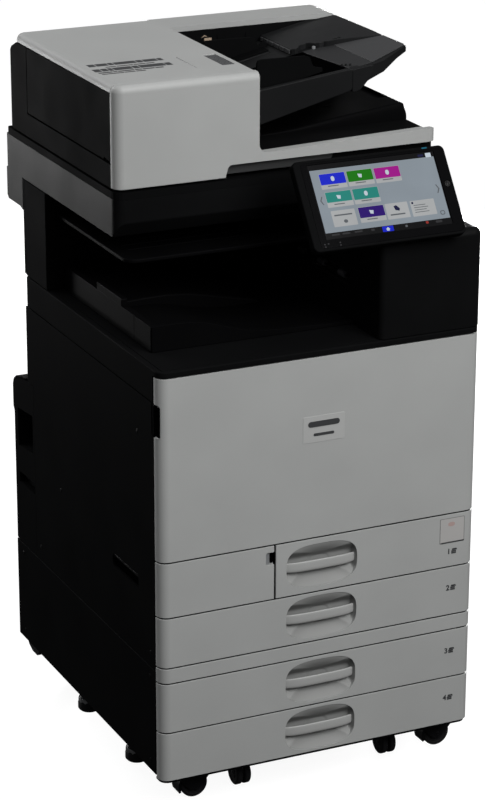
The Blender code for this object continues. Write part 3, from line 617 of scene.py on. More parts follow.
# dark strip along the label's lower edge: painted shadow
piece("drawer_1_label_painted_shadow", prism(rr(522.0, 566.0, 417.6, 420.0, 0.5, 2), "y", -0.42, -0.2), INK_AND_SHADOW, "tray_1", bevel=0.05)
piece("drawer_1_label_spot", prism(oval(541.0, 452.0, 6.5, 4.0, 2.4, 24), "y", -0.40, -0.28), STICKER_RED, "tray_1", bevel=0.05)


# dark strips behind the seams: painted shade in the gaps between panels
for n, z in enumerate((165.0, 255.0, 283.0, 373.0, 471.0), 1):
    half = 1.2
    piece("seam_painted_shade_%d" % n, prism(rr(2.6, W - 2.6, 2.2, 22.0, (15.4, 15.4, 0.0, 0.0), 8), "z", z - half, z + half), SHADOW_BLACK, "machine")
piece("seam_painted_shade_side", box(207.3, 208.7, 2.2, 22.0, 375.2, 469.6), SHADOW_BLACK, "machine")

# paper boxes: the CAD boxes stay, with guides and a lift plate inside
def drawer_inside(k, bx0, bx1, z_floor, depth):
    body = "tray_%d" % k
    keep("tray_%d_box" % k, BOXGREY, 0.7)
    cx = (bx0 + bx1) / 2.0 + 10.0
    plate = box(bx0 + 60.0, bx1 - 14.0, 70.0, depth - 60.0, z_floor + 1.0, z_floor + 3.0)
    cuts = [box(cx - 12.0, cx + 12.0, 60.0, depth - 150.0, z_floor - 5.0, z_floor + 8.0)]
    piece("drawer_%d_lift_plate" % k, plate, STEEL, body, cut=cuts, bevel=0.5)
    h = 46.0
    for tag, y0 in (("front", 62.0), ("rear", depth - 56.0)):
        g = prism(rr(cx - 55.0, cx + 55.0, z_floor + 4.0, z_floor + h, (0.0, 0.0, 8.0, 8.0), 5), "y", y0, y0 + 4.0)
        piece("drawer_%d_side_guide_%s" % (k, tag), g, MIDGREY, body, bevel=0.8, cut=[prism(rr(cx - 40.0, cx + 40.0, z_floor + 14.0, z_floor + h - 12.0, 5.0, 4), "y", y0 - 2.0, y0 + 1.5)])
    end = prism(rr(190.0, 250.0, z_floor + 4.0, z_floor + h, (0.0, 0.0, 6.0, 6.0), 4), "x", bx0 + 40.0, bx0 + 44.0)
    piece("drawer_%d_end_guide" % k, end, MIDGREY, body, bevel=0.8)
    piece("drawer_%d_end_clip" % k, box(bx0 + 44.5, bx0 + 54.0, 205.0, 235.0, z_floor + 4.0, z_floor + 16.0), GUIDEBLUE, body, bevel=1.5, seg=3)


drawer_inside(1, 222.0, 562.0, 387.0, 520.0)
drawer_inside(2, 18.0, 562.0, 297.0, 520.0)
drawer_inside(3, 18.0, 562.0, 179.0, 540.0)
drawer_inside(4, 18.0, 562.0, 90.0, 540.0)


# -------------------------------------------------------------- side covers
def side_plate(x0, x1, outline, rim, axis="x"):
    return prism(outline, axis, x0, x1)


keep("main_frame", STEEL, 0.5)
keep("bank_frame", STEEL, 0.5)
piece(
    "left_side_cover", prism([(24.0, 273.8), (562.3, 273.8), (562.3, 600.4), (590.0, 600.4), (590.0, 742.2), (24.0, 742.2)], "x", 0.0, 7.5), BLACK, "machine",
    cut=[
        prism(rr(90.0, 201.0, 395.0, 419.0, 7.0, 6), "x", -2.0, 5.4),
        prism(rr(24.0, 30.0, 688.0, 742.0, 2.0, 3), "x", -2.0, 1.2),
    ],
    bevel=1.1, seg=3, stands_for="left_cover",
)
# near-black sheet at the back of the grip recess: painted shade
piece("left_grip_painted_shade", prism(rr(90.6, 200.4, 395.6, 418.4, 6.6, 6), "x", 4.7, 5.3), SHADOW_BLACK, "machine")
piece("left_grip_lip", prism([(0.8, 414.0), (4.8, 411.5), (4.8, 418.0), (0.8, 418.0)], "y", 93.0, 198.0), BLACK_SMOOTH, "machine", bevel=0.5)
for n, (y, z) in enumerate(((89.0, 674.0), (436.0, 447.0), (540.0, 300.0), (40.0, 300.0)), 1):
    piece("left_screw_%d" % n, screw("x", (y, z), 0.1, -0.6, 4.2), BLACK_SMOOTH, "machine", cut=[box(-3.0, -0.35, y - 2.2, y + 2.2, z - 0.5, z + 0.5), box(-3.0, -0.35, y - 0.5, y + 0.5, z - 2.2, z + 2.2)])
piece(
    "bank_left_side", prism([(24.0, 81.0), (664.0, 81.0), (664.0, 272.4), (24.0, 272.4)], "x", 0.0, 7.5), BLACK, "machine",
    bevel=1.2, seg=3, stands_for="bank_left_cover",
)
piece(
    "bank_right_side", prism([(24.0, 81.0), (664.0, 81.0), (664.0, 272.4), (24.0, 272.4)], "x", 572.5, 587.0), BLACK, "machine",
    bevel=1.2, seg=3, stands_for="bank_right_cover",
    cut=[prism(rr(150.0, 520.0, 110.0, 240.0, 6.0, 4), "x", 585.4, 590.0)],
)
for n, (y, z) in enumerate(((45.0, 100.0), (630.0, 100.0), (45.0, 255.0), (630.0, 255.0)), 1):
    piece("bank_left_screw_%d" % n, screw("x", (y, z), 0.1, -0.6, 3.6), BLACK_SMOOTH, "machine", cut=[box(-3.0, -0.35, y - 2.0, y + 2.0, z - 0.5, z + 0.5), box(-3.0, -0.35, y - 0.5, y + 0.5, z - 2.0, z + 2.0)])
keep("right_cover", BLACK, 1.0, 3)
keep("rear_cover", BLACK, 1.0, 3)
keep("power_inlet", BLACK_SMOOTH, 0.4)
# outer skins on the back
rear_skin = [
    (663.5, 274.2), (663.5, 521.0), (665.0, 524.5), (669.0, 530.0), (669.0, 573.0), (663.5, 585.0), (651.5, 593.0), (628.0, 598.6),
    (604.0, 601.4), (604.0, 599.9), (624.2, 596.5), (645.4, 591.4), (656.4, 584.3), (661.4, 573.0), (661.4, 529.8), (650.4, 523.7), (650.4, 274.2),
]
piece(
    "rear_skin", prism(rear_skin, "x", 0.6, W - 0.6), BLACK, "machine",
    cut=[
        prism(rr(436.0, 496.0, 291.0, 337.0, 5.0, 5), "y", 640.0, 680.0),
        prism(rr(104.0, 266.0, 314.0, 470.0, 6.0, 5), "y", 661.9, 680.0),
        prism(rr(314.0, 536.0, 384.0, 486.0, 6.0, 5), "y", 661.9, 680.0),
    ],
    bevel=1.2, seg=3, angle=28.0,
)
vents = []
for i in range(16):
    vents.append(prism(rr(120.0, 250.0, 330.0 + i * 8.0, 333.6 + i * 8.0, 1.6, 3), "y", 662.4, 670.0))
piece("rear_vent_grille", prism(rr(110.0, 260.0, 320.0, 464.0, 6.0, 5), "y", 661.6, 664.2), BLACK_SMOOTH, "machine", cut=vents, bevel=0.5)
vents = [prism(rr(330.0, 520.0, 400.0 + i * 9.0, 404.0 + i * 9.0, 1.8, 3), "y", 662.4, 670.0) for i in range(8)]
piece("rear_vent_grille_right", prism(rr(320.0, 530.0, 390.0, 480.0, 6.0, 5), "y", 661.6, 664.2), BLACK_SMOOTH, "machine", cut=vents, bevel=0.5)
piece("bank_rear_panel", prism(rr(8.0, 572.0, 82.0, 272.0, 2.0, 3), "y", 650.5, 662.5), BLACK, "machine", bevel=1.2, seg=3,
      cut=[prism(rr(40.0 + 130.0 * i, 148.0 + 130.0 * i, 110.0, 244.0, 6.0, 4), "y", 660.9, 670.0) for i in range(4)])
piece("upper_rear_panel", prism(rr(0.5, W - 0.5, 802.0, 975.2, 2.0, 3), "y", 582.4, 591.5), BLACK, "machine", bevel=1.2, seg=3,
      cut=[prism(rr(60.0, 527.0, 830.0, 950.0, 6.0, 4), "y", 590.1, 600.0)])
piece("middle_rear_panel", prism(rr(8.0, 571.0, 603.0, 742.2, 2.0, 3), "y", 582.4, 590.0), BLACK, "machine", bevel=1.0,
      cut=[prism(rr(80.0 + i * 14.0, 87.0 + i * 14.0, 640.0, 710.0, 3.0, 4), "y", 588.6, 600.0) for i in range(30)])
for n, (x, z) in enumerate(((20.0, 290.0), (567.0, 290.0), (20.0, 505.0), (567.0, 505.0), (290.0, 290.0), (290.0, 505.0)), 1):
    piece("rear_screw_%d" % n, screw("y", (x, z), 663.3, 0.7, 4.0), STEEL, "machine", cut=[box(x - 2.2, x + 2.2, 664.0, 670.0, z - 0.5, z + 0.5), box(x - 0.5, x + 0.5, 664.0, 670.0, z - 2.2, z + 2.2)])
piece("rear_blank_plate", prism(rr(60.0, 96.0, 300.0, 360.0, 2.0, 3), "y", 663.2, 664.0), MIDGREY, "machine", bevel=0.15)

# right side: door, bypass tray and their finger grips
keep("right_door", BLACK, 1.2, 3)
keep("bypass_tray", BLACK, 1.2, 3)
piece("bypass_grip", prism(rr(270.0, 340.0, 668.0, 686.0, 8.0, 6), "x", 586.6, 588.6), BLACK_SMOOTH, "bypass_tray", bevel=0.6, cut=[prism(rr(274.0, 336.0, 671.0, 683.0, 6.0, 6), "x", 587.4, 592.0)])
piece("right_door_grip", prism(rr(270.0, 340.0, 702.0, 718.0, 7.0, 6), "x", 586.6, 588.6), BLACK_SMOOTH, "right_door", bevel=0.6, cut=[prism(rr(274.0, 336.0, 705.0, 715.0, 5.0, 6), "x", 587.4, 592.0)])

# ------------------------------------------------------------- deck and tray
deck = levels(
    lambda i: rr(i, W - i, i, 582.0, (18.0 - i, 18.0 - i, 0.0, 0.0), 10), "z",
    [(743.8, 0.0), (797.2, 0.0), (798.4, 0.35), (799.4, 1.1), (800.0, 2.4)],
)
piece(
    "deck_cover", deck, BLACK, "machine",
    cut=[
        box(-5.0, W + 5.0, -5.0, 23.9, 700.0, 789.8),
        box(7.0, W - 7.0, 31.0, 575.0, 700.0, 793.0),
        prism([(9.0, 9.0), (396.0, 9.0), (396.0, 10.6), (10.6, 10.6), (10.6, 480.0), (9.0, 480.0)], "z", 799.0, 803.0),
        prism([(24.0, 742.0), (24.0, 746.0), (583.0, 746.0), (583.0, 742.0)], "x", -1.0, 0.5),
    ],
    bevel=0.5, stands_for="top_deck",
)
keep("upper_rear_housing", BLACK, 1.5, 3)

wave = [
    (30.2, 801.0), (396.3, 801.0), (396.3, 806.5), (340.0, 807.3), (310.0, 808.5), (270.0, 809.5), (240.0, 811.5),
    (215.0, 814.5), (190.0, 819.5), (170.0, 825.5), (150.0, 832.0), (135.0, 837.0), (120.0, 840.8), (95.0, 844.0),
    (60.0, 844.8), (30.2, 844.0),
]
tray_cut = [
    (42.0, 828.0), (110.0, 827.0), (140.0, 822.0), (170.0, 814.0), (200.0, 808.0), (240.0, 804.5), (300.0, 803.0), (405.0, 802.5),
    (405.0, 870.0), (42.0, 870.0),
]
# exit tray parts take the darker black: painted shade inside the delivery space
piece(
    "exit_tray_body", prism(wave, "y", 98.0, 483.2), SHADED_BLACK, "machine",
    cut=[
        prism(tray_cut, "y", 108.0, 470.0),
        box(20.0, 31.6, 96.0, 100.4, 800.0, 850.0),
        box(20.0, 31.0, 168.0, 169.4, 800.0, 850.0),
    ],
    bevel=1.6, seg=3, angle=40.0, stands_for="exit_tray",
)
pad = [
    (44.0, 824.0), (50.0, 838.0), (90.0, 840.0), (130.0, 840.5), (170.0, 837.0), (210.0, 829.0), (250.0, 820.0), (285.0, 813.0), (300.0, 808.0),
    (302.0, 801.8), (44.0, 801.8),
]
piece("exit_tray_pad", prism(pad, "y", 262.0, 469.0), SHADED_BLACK, "machine", bevel=3.0, seg=4, angle=45.0)
piece("exit_tray_wall_block", prism(rr(222.0, 330.0, 836.0, 857.0, (0.0, 0.0, 3.0, 3.0), 4), "x", 30.4, 41.0), SHADED_BLACK, "machine", bevel=1.2, seg=3)

# the inner shelf and its ribs take the darker black: painted shade inside the delivery space
shelf = levels(
    lambda i: rr(20.0 + i, 396.3, 172.0 + i, 483.2, (22.0 - i, 0.0, 0.0, 0.0), 10), "z",
    [(930.6, 2.0), (930.9, 1.0), (931.6, 0.2), (933.5, 0.0), (936.2, 0.3), (937.2, 1.2), (937.6, 2.4)],
)
piece("inner_shelf_plate", shelf, SHADED_BLACK, "machine", stands_for="inner_shelf", bevel=0.5)
for i in range(9):
    y = 226.0 + i * 27.0
    piece("inner_shelf_rib_%d" % (i + 1), prism(rr(44.0, 380.0, y, y + 2.0, 1.0, 3), "z", 937.3, 939.0), SHADED_BLACK, "machine", bevel=0.3)

# -------------------------------------------------------------- right column
column = levels(
    lambda i: rr(397.0 + min(i, 6.0), W - i, i, 483.2, (10.0 - min(i, 8.0), 16.0 - min(i, 12.0), 0.0, 0.0), 10), "z",
    [(801.0, 0.6), (801.6, 0.0), (958.0, 0.0), (962.4, 0.8), (966.0, 2.7), (968.8, 5.6), (970.4, 9.2), (971.0, 13.5)],
)
piece(
    "column_cover", column, BLACK_SMOOTH, "machine",
    cut=[
        prism(rr(110.0, 440.0, 862.0, 886.0, 5.0, 4), "x", 390.0, 410.0),
        prism(rr(110.0, 440.0, 944.0, 958.0, 4.0, 4), "x", 390.0, 410.0),
        box(404.0, 580.0, 8.0, 476.0, 795.0, 962.0),
    ],
    bevel=0.6, stands_for="right_column",
)
for n, (z, yy) in enumerate(((874.0, 0), (951.0, 0))):
    piece("exit_roller_shaft_%d" % (n + 1), disc("y", (402.0, z), 2.6, 112.0, 438.0, 20), CHROME, "machine")
    for i in range(4):
        y = 150.0 + i * 76.0
        piece("exit_roller_%d_%d" % (n + 1, i + 1), lathe([(3.0, y - 11.0), (5.6, y - 10.0), (5.9, y), (5.6, y + 10.0), (3.0, y + 11.0)], "y", (402.6, z), 24), ROLLER, "machine")
neck = [(14.0, 968.0), (62.0, 968.0), (50.0, 1000.0), (38.0, 1011.0), (28.0, 1014.0), (19.0, 1010.0)]
piece(
    "panel_neck", prism(neck, "x", 412.0, 471.0), BLACK, "machine",
    add=[box(413.0, 470.0, 40.0, 150.0, 966.0, 988.0)], bevel=3.0, seg=4,
)
piece("panel_barrel", disc("x", (28.0, 1006.0), 10.2, 405.0, 478.0, 40, 1.2), BLACK_SMOOTH, "machine")

# ------------------------------------------------------------------ scanner
def scan_outline(i):
    return rr(i, W - i, 168.0 + i, 668.0 - i, (18.0 - min(i, 14.0), 18.0 - min(i, 14.0), 6.0 - min(i, 4.0), 6.0 - min(i, 4.0)), 10)


scanner = levels(scan_outline, "z", [(976.0, 0.8), (976.8, 0.0), (1040.2, 0.0)])
piece(
    "scanner_shell", scanner, BLACK_SMOOTH, "machine",
    cut=[
        box(14.0, W - 14.0, 186.0, 640.0, 990.0, 1050.0),
        prism([(150.0, 960.0), (186.0, 960.0), (186.0, 976.0), (181.0, 982.0), (171.0, 996.0), (168.4, 1000.0), (167.6, 1006.0), (150.0, 1006.0)], "x", -10.0, W + 10.0),
    ],
    add=[
        prism([(592.0, 918.0), (606.0, 922.0), (662.0, 922.0), (668.0, 928.0), (668.0, 979.0), (592.0, 979.0)], "x", 0.0, W),
    ],
    bevel=0.3, seg=2, stands_for="scanner_housing",
)
piece("scanner_rail_front", box(22.0, 566.0, 214.0, 226.0, 989.6, 995.2), CHROME, "machine", bevel=0.5)
piece("scanner_rail_rear", box(22.0, 566.0, 494.0, 506.0, 989.6, 995.2), CHROME, "machine", bevel=0.5)
keep("platen_frame", BLACK, 0.3, 2)
keep("platen_glass", GLASS, 0.3)
# carriage in the near-black fill: painted shade under the glass
keep("scan_carriage", SHADOW_BLACK, 0.6)
piece("scan_slit_glass", box(58.6, 91.4, 206.6, 511.4, 1050.2, 1051.2), GLASS, "machine", bevel=0.2)
piece("platen_scale_left", prism(rr(100.0, 114.0, 206.0, 512.0, 1.0, 3), "z", 1053.0, 1053.5), PAD, "machine", bevel=0.1)
piece("platen_scale_rear", prism(rr(118.0, 560.0, 516.0, 530.0, 1.0, 3), "z", 1053.0, 1053.5), PAD, "machine", bevel=0.1)
ticks = [box(110.0, 113.6, y, y + 0.7, 1053.4, 1053.7) for y in range(212, 508, 12)]
piece("platen_scale_ticks", joined(*ticks), INK_AND_SHADOW, "machine")
piece("scan_lamp", disc("y", (75.0, 1018.0), 5.0, 210.0, 510.0, 24, 0.5), PAD, "scan_carriage")

# ------------------------------------------------------------ feeder unit
base = levels(
    lambda i: rr(i, W - i, 187.0 + i, 636.0 - i, (2.0, 2.0, 6.0, 6.0), 4), "z",
    [(1056.7, 0.8), (1057.4, 0.0), (1090.2, 0.0), (1091.0, 0.8)],
)
piece(
    "feeder_base", base, BLACK, "adf",
    add=[
        box(0.0, 250.0, 187.0, 636.0, 1060.0, 1096.5),
        prism([(560.0, 1090.0), (636.0, 1090.0), (636.0, 1195.0), (630.0, 1202.0), (606.0, 1213.0), (560.0, 1213.0)], "x", 0.0, 255.5),
        box(250.0, W - 2.0, 552.0, 636.0, 1085.0, 1194.2),
        box(112.0, 150.0, 630.0, 650.0, 1062.0, 1098.0),
        box(436.0, 474.0, 630.0, 650.0, 1062.0, 1098.0),
    ],
    cut=[
        prism([(12.0, 1120.0), (248.0, 1120.0), (248.0, 1206.0), (12.0, 1206.0)], "y", 555.0, 572.0),
    ],
    bevel=0.9, seg=3, stands_for="adf_base",
)


def ramp_top(x, y):
    along = max(0.0, min(1.0, (x - 262.0) / 313.0))
    z = 1091.5 + 29.5 * (along ** 1.15)
    dip = 7.0 * math.exp(-(((x - 360.0) / 70.0) ** 2) - (((y - 330.0) / 60.0) ** 2))
    edge = min(1.0, (y - 276.0) / 5.0)
    lip = (1.0 - (1.0 - edge) ** 2) ** 0.5 if edge < 1.0 else 1.0
    end = min(1.0, (586.0 - x) / 9.0)
    lip2 = (1.0 - (1.0 - end) ** 2) ** 0.5 if end < 1.0 else 1.0
    base_z = 1091.3
    return base_z + max(0.3, (z - dip - base_z)) * (0.35 + 0.65 * lip) * (0.45 + 0.55 * lip2)


def ramp_mesh():
    nx, ny = 66, 44
    bm = bmesh.new()
    grid = []
    for i in range(nx + 1):
        x = 262.0 + (586.0 - 262.0) * (i / nx)
        if i > nx - 8:
            x = 586.0 - (586.0 - 262.0) / nx * (nx - i) * 1.0
        row = []
        for j in range(ny + 1):
            f = j / ny
            y = 276.0 + (549.0 - 276.0) * (f ** 1.6)
            row.append(bm.verts.new((x, y, ramp_top(x, y))))
        grid.append(row)
    low = {}
    for i in range(nx + 1):
        for j in (0, ny):
            v = grid[i][j]
            low[(i, j)] = bm.verts.new((v.co.x, v.co.y, 1090.2))
    for j in range(1, ny):
        for i in (0, nx):
            v = grid[i][j]
            low[(i, j)] = bm.verts.new((v.co.x, v.co.y, 1090.2))
    for i in range(nx):
        for j in range(ny):
            bm.faces.new((grid[i][j], grid[i + 1][j], grid[i + 1][j + 1], grid[i][j + 1]))
    for i in range(nx):
        for j in (0, ny):
            bm.faces.new((grid[i][j], grid[i + 1][j], low[(i + 1, j)], low[(i, j)]))
    for j in range(ny):
        for i in (0, nx):
            bm.faces.new((grid[i][j], grid[i][j + 1], low[(i, j + 1)], low[(i, j)]))
    rim = [low[(i, 0)] for i in range(nx + 1)] + [low[(nx, j)] for j in range(1, ny + 1)]
    rim += [low[(i, ny)] for i in range(nx - 1, -1, -1)] + [low[(0, j)] for j in range(ny - 1, 0, -1)]
    bm.faces.new(rim)
    bmesh.ops.recalc_face_normals(bm, faces=bm.faces)
    return bm


# the ramp takes the darker, matte black: partly painted shade
piece("originals_ramp", ramp_mesh(), SHADED_BLACK, "adf", sharp=50.0, cut=[box(557.0, 581.0, 330.0, 440.0, 1112.5, 1140.0), prism([(455.0, 350.0), (475.0, 342.0), (477.0, 352.0), (458.0, 361.0)], "z", 1100.0, 1140.0)])

front_outline = lambda i: rr(i, W - i, 168.0 + i * 0.6, 186.4, (17.0 - min(i, 12.0), 17.0 - min(i, 12.0), 0.0, 0.0), 12)
fcover = levels(
    front_outline, "z",
    [(1057.2, 1.6), (1057.8, 0.6), (1058.8, 0.0), (1214.5, 0.0), (1218.0, 0.5), (1221.6, 2.2), (1224.6, 5.2), (1226.8, 9.6), (1227.8, 15.0)],
)
piece(
    "feeder_front_cover", fcover, LIGHT, "adf",
    cut=[
        prism(
            [(256.0 + 15.0 * (1.0 - math.cos(math.radians(a))), 1092.6 + 15.0 * (1.0 - math.sin(math.radians(a)))) for a in range(0, 91, 10)]
            + [(W - 8.0, 1101.6)] + [(W - 8.0 + 8.0 * math.sin(math.radians(a)), 1093.6 + 8.0 * math.cos(math.radians(a))) for a in range(15, 91, 15)]
            + [(W + 10.0, 1093.6), (W + 10.0, 1240.0), (256.0, 1240.0)], "y", 150.0, 200.0,
        ),
        prism([(195.0, 1040.0), (W + 10.0, 1040.0), (W + 10.0, 1078.5), (208.0, 1078.5), (203.0, 1077.5), (199.5, 1074.0), (197.5, 1067.0), (195.5, 1062.0)], "y", 150.0, 200.0),
        box(566.0, W + 10.0, 180.5, 200.0, 1085.0, 1110.0),
    ],
    bevel=1.2, seg=3, angle=50.0, stands_for="adf_front_cover",
)
piece(
    "feeder_lower_lip", prism([(199.6, 1060.0), (391.0, 1060.0), (393.5, 1062.0), (397.5, 1077.6), (204.6, 1077.6), (201.4, 1074.0), (199.6, 1067.0)], "y", 180.6, 186.4), LIP, "adf", bevel=0.8, seg=3,
)
rear_cap = levels(
    lambda i: rr(258.0, W - 0.6 - i, 552.2, 640.0 - i, (0.0, 1.0, 16.0 - min(i, 12.0), 0.0), 10), "z",
    [(1194.7, 0.0), (1212.0, 0.0), (1217.0, 0.6), (1221.0, 2.4), (1223.6, 5.4), (1224.8, 9.4), (1225.1, 14.0)],
)
piece("feeder_rear_cover", rear_cap, LIGHT, "adf", bevel=1.2, seg=3, angle=45.0, stands_for="adf_rear_cover")
piece("feeder_rear_lining", prism(rr(257.0, W - 2.0, 1110.0, 1216.6, (0.0, 0.0, 3.0, 0.0), 4), "y", 548.8, 551.9), BLACK, "adf", bevel=0.6)
for i in range(5):
    x = 300.0 + i * 54.0
    piece("feeder_lining_rib_%d" % (i + 1), prism(rr(x, x + 2.0, 1120.0, 1190.0 if i > 2 else 1206.0, 0.9, 3), "y", 547.6, 549.0), BLACK, "adf")
piece("lining_mark", prism(rr(329.0, 343.0, 1197.0, 1201.6, 1.2, 3), "y", 548.3, 548.9), STICKER_CREAM, "adf", bevel=0.1)
piece("lining_mark_arrow", prism([(323.0, 1202.5), (329.0, 1205.0), (335.0, 1204.0), (329.0, 1207.0)], "y", 548.3, 548.9), STICKER_CREAM, "adf")

lid = levels(
    lambda i: rr(i, 256.0 - i * 0.25, 186.8, 605.0 - i * 0.8, (0.0, 0.0, 4.0, 4.0), 4), "z",
    [(1214.0, 0.6), (1214.8, 0.0), (1217.5, 0.0), (1220.5, 0.7), (1223.4, 2.2), (1225.8, 4.8), (1227.3, 8.4), (1227.9, 13.0)],
)


def lid_z(y):
    """Height of the top cover, which rises a little toward the back."""
    return 1227.9 + 3.6 * (y - 187.0) / 418.0


for v in lid.verts:
    if v.co.z > 1214.4:
        v.co.z += (lid_z(v.co.y) - 1227.9) * min(1.0, (v.co.z - 1214.4) / 12.0)
piece(
    "feeder_top_cover", lid, LIGHT, "feeder_cover",
    cut=[
        box(6.0, 250.0, 193.0, 556.0, 1200.0, 1222.0),
        prism(rr(172.0, 176.0, 237.0, 321.0, 1.9, 4), "z", 1227.7, 1234.0),
        prism(rr(221.0, 244.0, 237.0, 318.0, 3.0, 4), "z", 1227.6, 1234.0),
    ],
    bevel=0.25, seg=3, stands_for="feeder_cover",
)
piece(
    "feeder_black_side", prism(rr(188.0, 558.0, 1099.2, 1213.4, (1.0, 1.0, 1.0, 1.0), 2), "x", 0.0, 5.0), BLACK, "feeder_cover",
    cut=[prism(rr(190.0, 216.0, 1094.0, 1103.0, (0.0, 0.0, 3.0, 3.0), 3), "x", -2.0, 2.5)],
    bevel=1.0, seg=3, stands_for="feeder_side_cover",
)
ribs = [box(30.0 + i * 21.0, 31.6 + i * 21.0, 200.0, 548.0, 1214.5, 1222.2) for i in range(10)]
# lid ribs and inner guide take the near-black fill: painted shade inside the feeder
piece("feeder_lid_ribs", joined(*ribs), SHADOW_BLACK, "feeder_cover")
piece("feeder_inner_guide", prism([(14.0, 1098.0), (196.0, 1098.0), (196.0, 1118.0), (150.0, 1134.0), (60.0, 1138.0), (24.0, 1128.0), (14.0, 1112.0)], "y", 196.0, 548.0), SHADOW_BLACK, "adf", bevel=2.0, seg=3)
for i in range(8):
    y = 214.0 + i * 44.0
    piece("feeder_guide_rib_%d" % (i + 1), prism([(24.0, 1128.5), (60.0, 1138.5), (150.0, 1134.5), (190.0, 1120.5), (190.0, 1123.5), (150.0, 1137.5), (60.0, 1141.5), (24.0, 1131.5)], "y", y, y + 2.0), BLACK_SMOOTH, "adf")
for i, y in enumerate((270.0, 470.0), 1):
    piece("feeder_idler_%d" % i, lathe([(4.0, y - 9.0), (8.0, y - 8.0), (8.4, y), (8.0, y + 8.0), (4.0, y + 9.0)], "y", (110.0, 1146.0), 28), ROLLER, "adf")
piece("feed_roller", lathe([(4.0, 188.2), (4.0, 330.0), (11.2, 330.6), (12.0, 332.0), (12.0, 408.0), (11.2, 409.4), (4.0, 410.0), (4.0, 558.4)], "y", (226.0, 1122.0), 40), ROLLER, "pickup_roller", stands_for="pickup_roller")
grooves = []
for i in range(24):
    t = 2 * math.pi * i / 24
    grooves.append(disc("y", (226.0 + 12.1 * math.cos(t), 1122.0 + 12.1 * math.sin(t)), 0.5, 333.0, 407.0, 8))
piece("feed_roller_treads", joined(*grooves), RUBBER, "pickup_roller")

# white pad under the feeder, then the feeder's hinges
piece("platen_pad", levels(lambda i: rr(122.0 + i, 556.0 - i, 210.0 + i, 508.0 - i, 4.0, 4), "z", [(1053.9, 1.2), (1054.4, 0.2), (1055.6, 0.0), (1056.6, 0.0)]), PAD, "adf")
for i, x in enumerate((120.0, 444.0), 1):
    piece("feeder_hinge_%d" % i, disc("x", (645.0, 1058.5), 5.2, x - 7.0, x + 30.0, 28, 0.8), STEEL, "adf")

# marks on the feeder's top, with nothing written on them
# plain bars stand where the printed notes are
bars = []
for y, x0, segs, d in ((318.0, 16.0, (14, 22, 10, 40, 12, 26, 10), 8.0), (283.0, 12.0, (14, 12, 9, 34, 12, 46, 12), 9.0), (300.0, 40.0, (20, 30, 22, 16), 2.4), (266.0, 14.0, (26, 8, 30, 14, 22, 16), 3.0), (256.0, 16.0, (40, 20, 18), 2.4)):
    x = x0
    for w in segs:
        bars.append(stack([[(px, py, lid_z(py) + up) for px, py in ((x, y - d), (x + w - 1.6, y - d), (x + w - 1.6, y + d), (x, y + d))] for up in (-0.1, 0.12)]))
        x += w
piece("top_note_bars", joined(*bars), INK_AND_SHADOW, "feeder_cover")
piece("top_indicator", joined(*[box(223.5 + k * 4.4, 226.2 + k * 4.4, 241.0, 314.0, 1227.3, 1228.15) for k in range(5)]), INK_AND_SHADOW, "feeder_cover")
piece("top_indicator_field", prism(rr(221.6, 243.4, 237.6, 317.4, 2.5, 4), "z", 1227.3, 1227.8), MIDGREY, "feeder_cover")

# ------------------------------------------------------------ document tray
DOC = math.atan2(69.0, 318.0)


def slope(x):
    return 1150.0 + (x - 262.0) * math.tan(DOC)


plate = [
    (262.0, 1129.0), (472.0, 1163.0), (500.0, 1176.5), (560.0, 1202.0), (579.0, 1207.4), (583.6, 1209.2),
    (584.4, 1210.2), (584.4, 1218.6), (583.4, 1219.7), (262.0, 1150.0),
]
corner_cut = [(497.0, 230.0), (610.0, 230.0), (610.0, 289.0), (578.0, 277.0)]
piece(
    "document_tray_plate", prism(plate, "y", 246.0, 548.0), FENCE, "document_tray",
    cut=[
        prism(corner_cut, "z", 1100.0, 1300.0),
        prism([(300.0, slope(300.0) - 1.6), (420.0, slope(420.0) - 1.6), (420.0, slope(420.0) + 3.0), (300.0, slope(300.0) + 3.0)], "y", 330.0, 336.0),
        prism([(300.0, slope(300.0) - 1.6), (420.0, slope(420.0) - 1.6), (420.0, slope(420.0) + 3.0), (300.0, slope(300.0) + 3.0)], "y", 470.0, 476.0),
        prism([(300.0, 1100.0), (470.0, 1128.0), (470.0, 1158.5), (330.0, 1134.0), (300.0, 1130.0)], "y", 262.0, 536.0),
    ],
    bevel=1.2, seg=3, stands_for="document_tray",
)
fence = [(262.0, 1112.0), (458.0, 1160.5), (461.6, 1163.0), (463.0, 1167.0), (463.0, 1194.0), (460.0, 1197.6), (455.0, 1198.8), (262.0, 1175.5)]
piece("document_fence", prism(fence, "y", 240.0, 249.6), FENCE, "document_tray", bevel=2.0, seg=4)


def over(x):
    """How far the raised rear plate stands above the slope."""
    if x <= 512.0:
        return 9.5
    return 9.5 - 7.5 * (x - 512.0) / 71.0


def slope_poly(pts, low, high):
    """A thin plate over plan points, following the slope."""
    top = high if callable(high) else (lambda x: high)
    return stack([[(x, y, slope(x) + low) for x, y in pts], [(x, y, slope(x) + top(x)) for x, y in pts]])


rear_plate = [
    (437.0, 423.0), (443.0, 418.0), (449.0, 420.0), (453.0, 427.0), (459.0, 430.0), (468.0, 430.0), (474.0, 424.0),
    (478.0, 413.0), (484.0, 408.5), (492.0, 408.0), (497.0, 402.0), (512.0, 396.5), (540.0, 384.0), (579.0, 366.0), (583.0, 366.0),
    (584.5, 400.0), (584.5, 450.0), (584.5, 500.0), (584.0, 545.0), (581.0, 547.6), (512.0, 547.6), (470.0, 547.6), (440.0, 547.6), (437.0, 545.0),
]
piece(
    "document_rear_plate", slope_poly(rear_plate, -1.0, over), TRAYGREY, "document_tray", bevel=0.9, seg=3,
    cut=[prism(rr(508.0, 524.0, 402.0, 409.0, 3.4, 5), "z", slope(512.0) + 4.0, 1300.0)],
)
